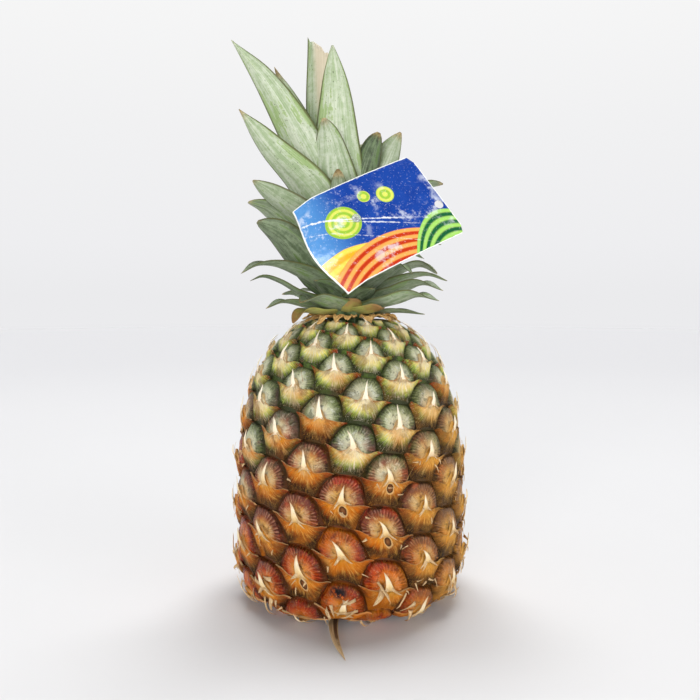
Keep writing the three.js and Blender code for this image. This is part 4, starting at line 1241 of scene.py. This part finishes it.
def shreds(draw):
    """Torn curled bits of scale, many round the foot and fewer up the lower half."""
    t = np.linspace(0, 1, PAPER_STATIONS)
    for n in range(300):
        foot = n < 170
        eye = -44 - int(34 * draw()) if foot else -2 - int(56 * draw())
        across, along = (draw() - 0.5) * 20, (draw() - 0.5) * 12 if foot else -1 - 8 * draw()
        reach, turn = (3.0 + 7 * draw()) if foot else (1.5 + 3 * draw()), (draw() - 0.5) * 3.4
        bend, rise = (draw() - 0.5) * 5, (0.5 + 2.6 * draw() ** 2) if foot else (0.3 + 0.9 * draw())
        width = (0.3 + 1.3 * draw() ** 2) if foot else (0.2 + 0.35 * draw())
        if foot and n % 6 == 0:
            reach, width, rise = reach + 3.0, width + 0.25, rise + 2.0
        yield (eye, across + math.sin(turn) * reach * t + bend * t * t * 0.5,
               along - math.cos(turn) * reach * t + bend * t ** 3 * 0.4, 0.5 + rise * np.sin(t * 2.0),
               width * (1 - t) ** 0.75 + 0.06, (draw() - 0.5) * 3)


def build_papers():
    """Papery legs of the spikes and torn scales."""
    draw = Draw(88)
    points, faces, uv, own = [], [], [], []
    ring = 2 * len(BLADE_SIDES)
    t = np.linspace(0, 1, PAPER_STATIONS)
    marks = [((side + 1) / 2, k) for k in t for side in (*BLADE_SIDES, *BLADE_SIDES[::-1])]
    for path in [*spike_legs(draw), *shreds(draw)]:
        start = len(points) * PAPER_STATIONS * ring
        points.append(strip(*path))
        faces += blade_faces(PAPER_STATIONS, start)
        uv += marks
        own.append(np.full(len(marks), draw()))
    points = np.vstack(points)
    points[:, 2] = np.maximum(points[:, 2], 0.2)
    look = husk_look("torn_paper", (238, 216, 172), (180, 130, 74))
    own = np.concatenate(own)
    place(build("torn_scales", points, faces, look, {"blade": np.array(uv)}, {"own": own}), "skin")


# Ground, light and camera
# Radii of the ground's rings and how far the ground lies under the foot, in mm.
GROUND_RINGS, GROUND_DROP = (0.001, 400, 3500), 0.02


def build_ground():
    points, faces, _ = lathe([(r, 0) for r in GROUND_RINGS], 96)
    points[:, 2] -= GROUND_DROP
    floor = build("ground", points, faces, floor_look())


def add_sun(name, side, softness, strength):
    """A broad soft light from the given side, the same all over the ground."""
    lamp = bpy.data.lights.new(name, "SUN")
    lamp.angle = math.radians(softness)
    lamp.energy = strength
    holder = bpy.data.objects.new(name, lamp)
    holder.location = side
    holder.rotation_euler = (-Vector(side)).to_track_quat("-Z", "Y").to_euler()
    bpy.context.scene.collection.objects.link(holder)


# Tones of the sky from low to high: place on the ramp and colour.
SKY = ((0.0, (235, 235, 237)), (0.06, (238, 238, 240)), (0.2, (241, 241, 242)), (0.36, (247, 247, 247)),
       (0.5, (76, 76, 78)))


def build_light():
    scene = bpy.context.scene
    world = bpy.data.worlds.new("studio")
    scene.world = world
    world.use_nodes = True
    tree = world.node_tree
    tree.nodes.clear()
    split = tree.nodes.new("ShaderNodeSeparateXYZ")
    tree.links.new(tree.nodes.new("ShaderNodeTexCoord").outputs["Generated"], split.inputs[0])
    ramp = tree.nodes.new("ShaderNodeValToRGB")
    fill_ramp(ramp.color_ramp, SKY)
    tree.links.new(split.outputs[2], ramp.inputs[0])
    sky = tree.nodes.new("ShaderNodeBackground")
    sky.inputs["Strength"].default_value = 1.0
    tree.links.new(ramp.outputs[0], sky.inputs[0])
    out = tree.nodes.new("ShaderNodeOutputWorld")
    tree.links.new(sky.outputs[0], out.inputs[0])
    add_sun("top_left", (-0.2, 0.36, 1.0), 22, 1.4)
    add_sun("top_right", (0.22, 0.36, 1.0), 22, 1.55)
    add_sun("front", (-0.3, -0.95, 0.1), 30, 2.3)
    add_sun("side", (0.85, -0.62, 0.06), 40, 1.55)
    scene.view_settings.view_transform = "Standard"


SENSOR_WIDTH, FOCAL_PIXELS, PICTURE_PIXELS, CAMERA_TILT = 36.0, 801.4, 700, 4
CAMERA_PLACE = (0, -0.41898, 0.1573)


def build_camera():
    lens = bpy.data.cameras.new("camera")
    lens.sensor_width = SENSOR_WIDTH
    lens.lens = FOCAL_PIXELS / PICTURE_PIXELS * SENSOR_WIDTH
    lens.clip_start = 0.01
    holder = bpy.data.objects.new("camera", lens)
    holder.location = CAMERA_PLACE
    holder.rotation_euler = (math.radians(90 - CAMERA_TILT), 0, 0)
    bpy.context.scene.collection.objects.link(holder)
    bpy.context.scene.camera = holder


build_camera()
build_light()
build_ground()
build_fruit()
build_crown()
build_scales()
build_shoulder()
build_stalk()
build_card()
build_pin()
build_threads()
build_papers()
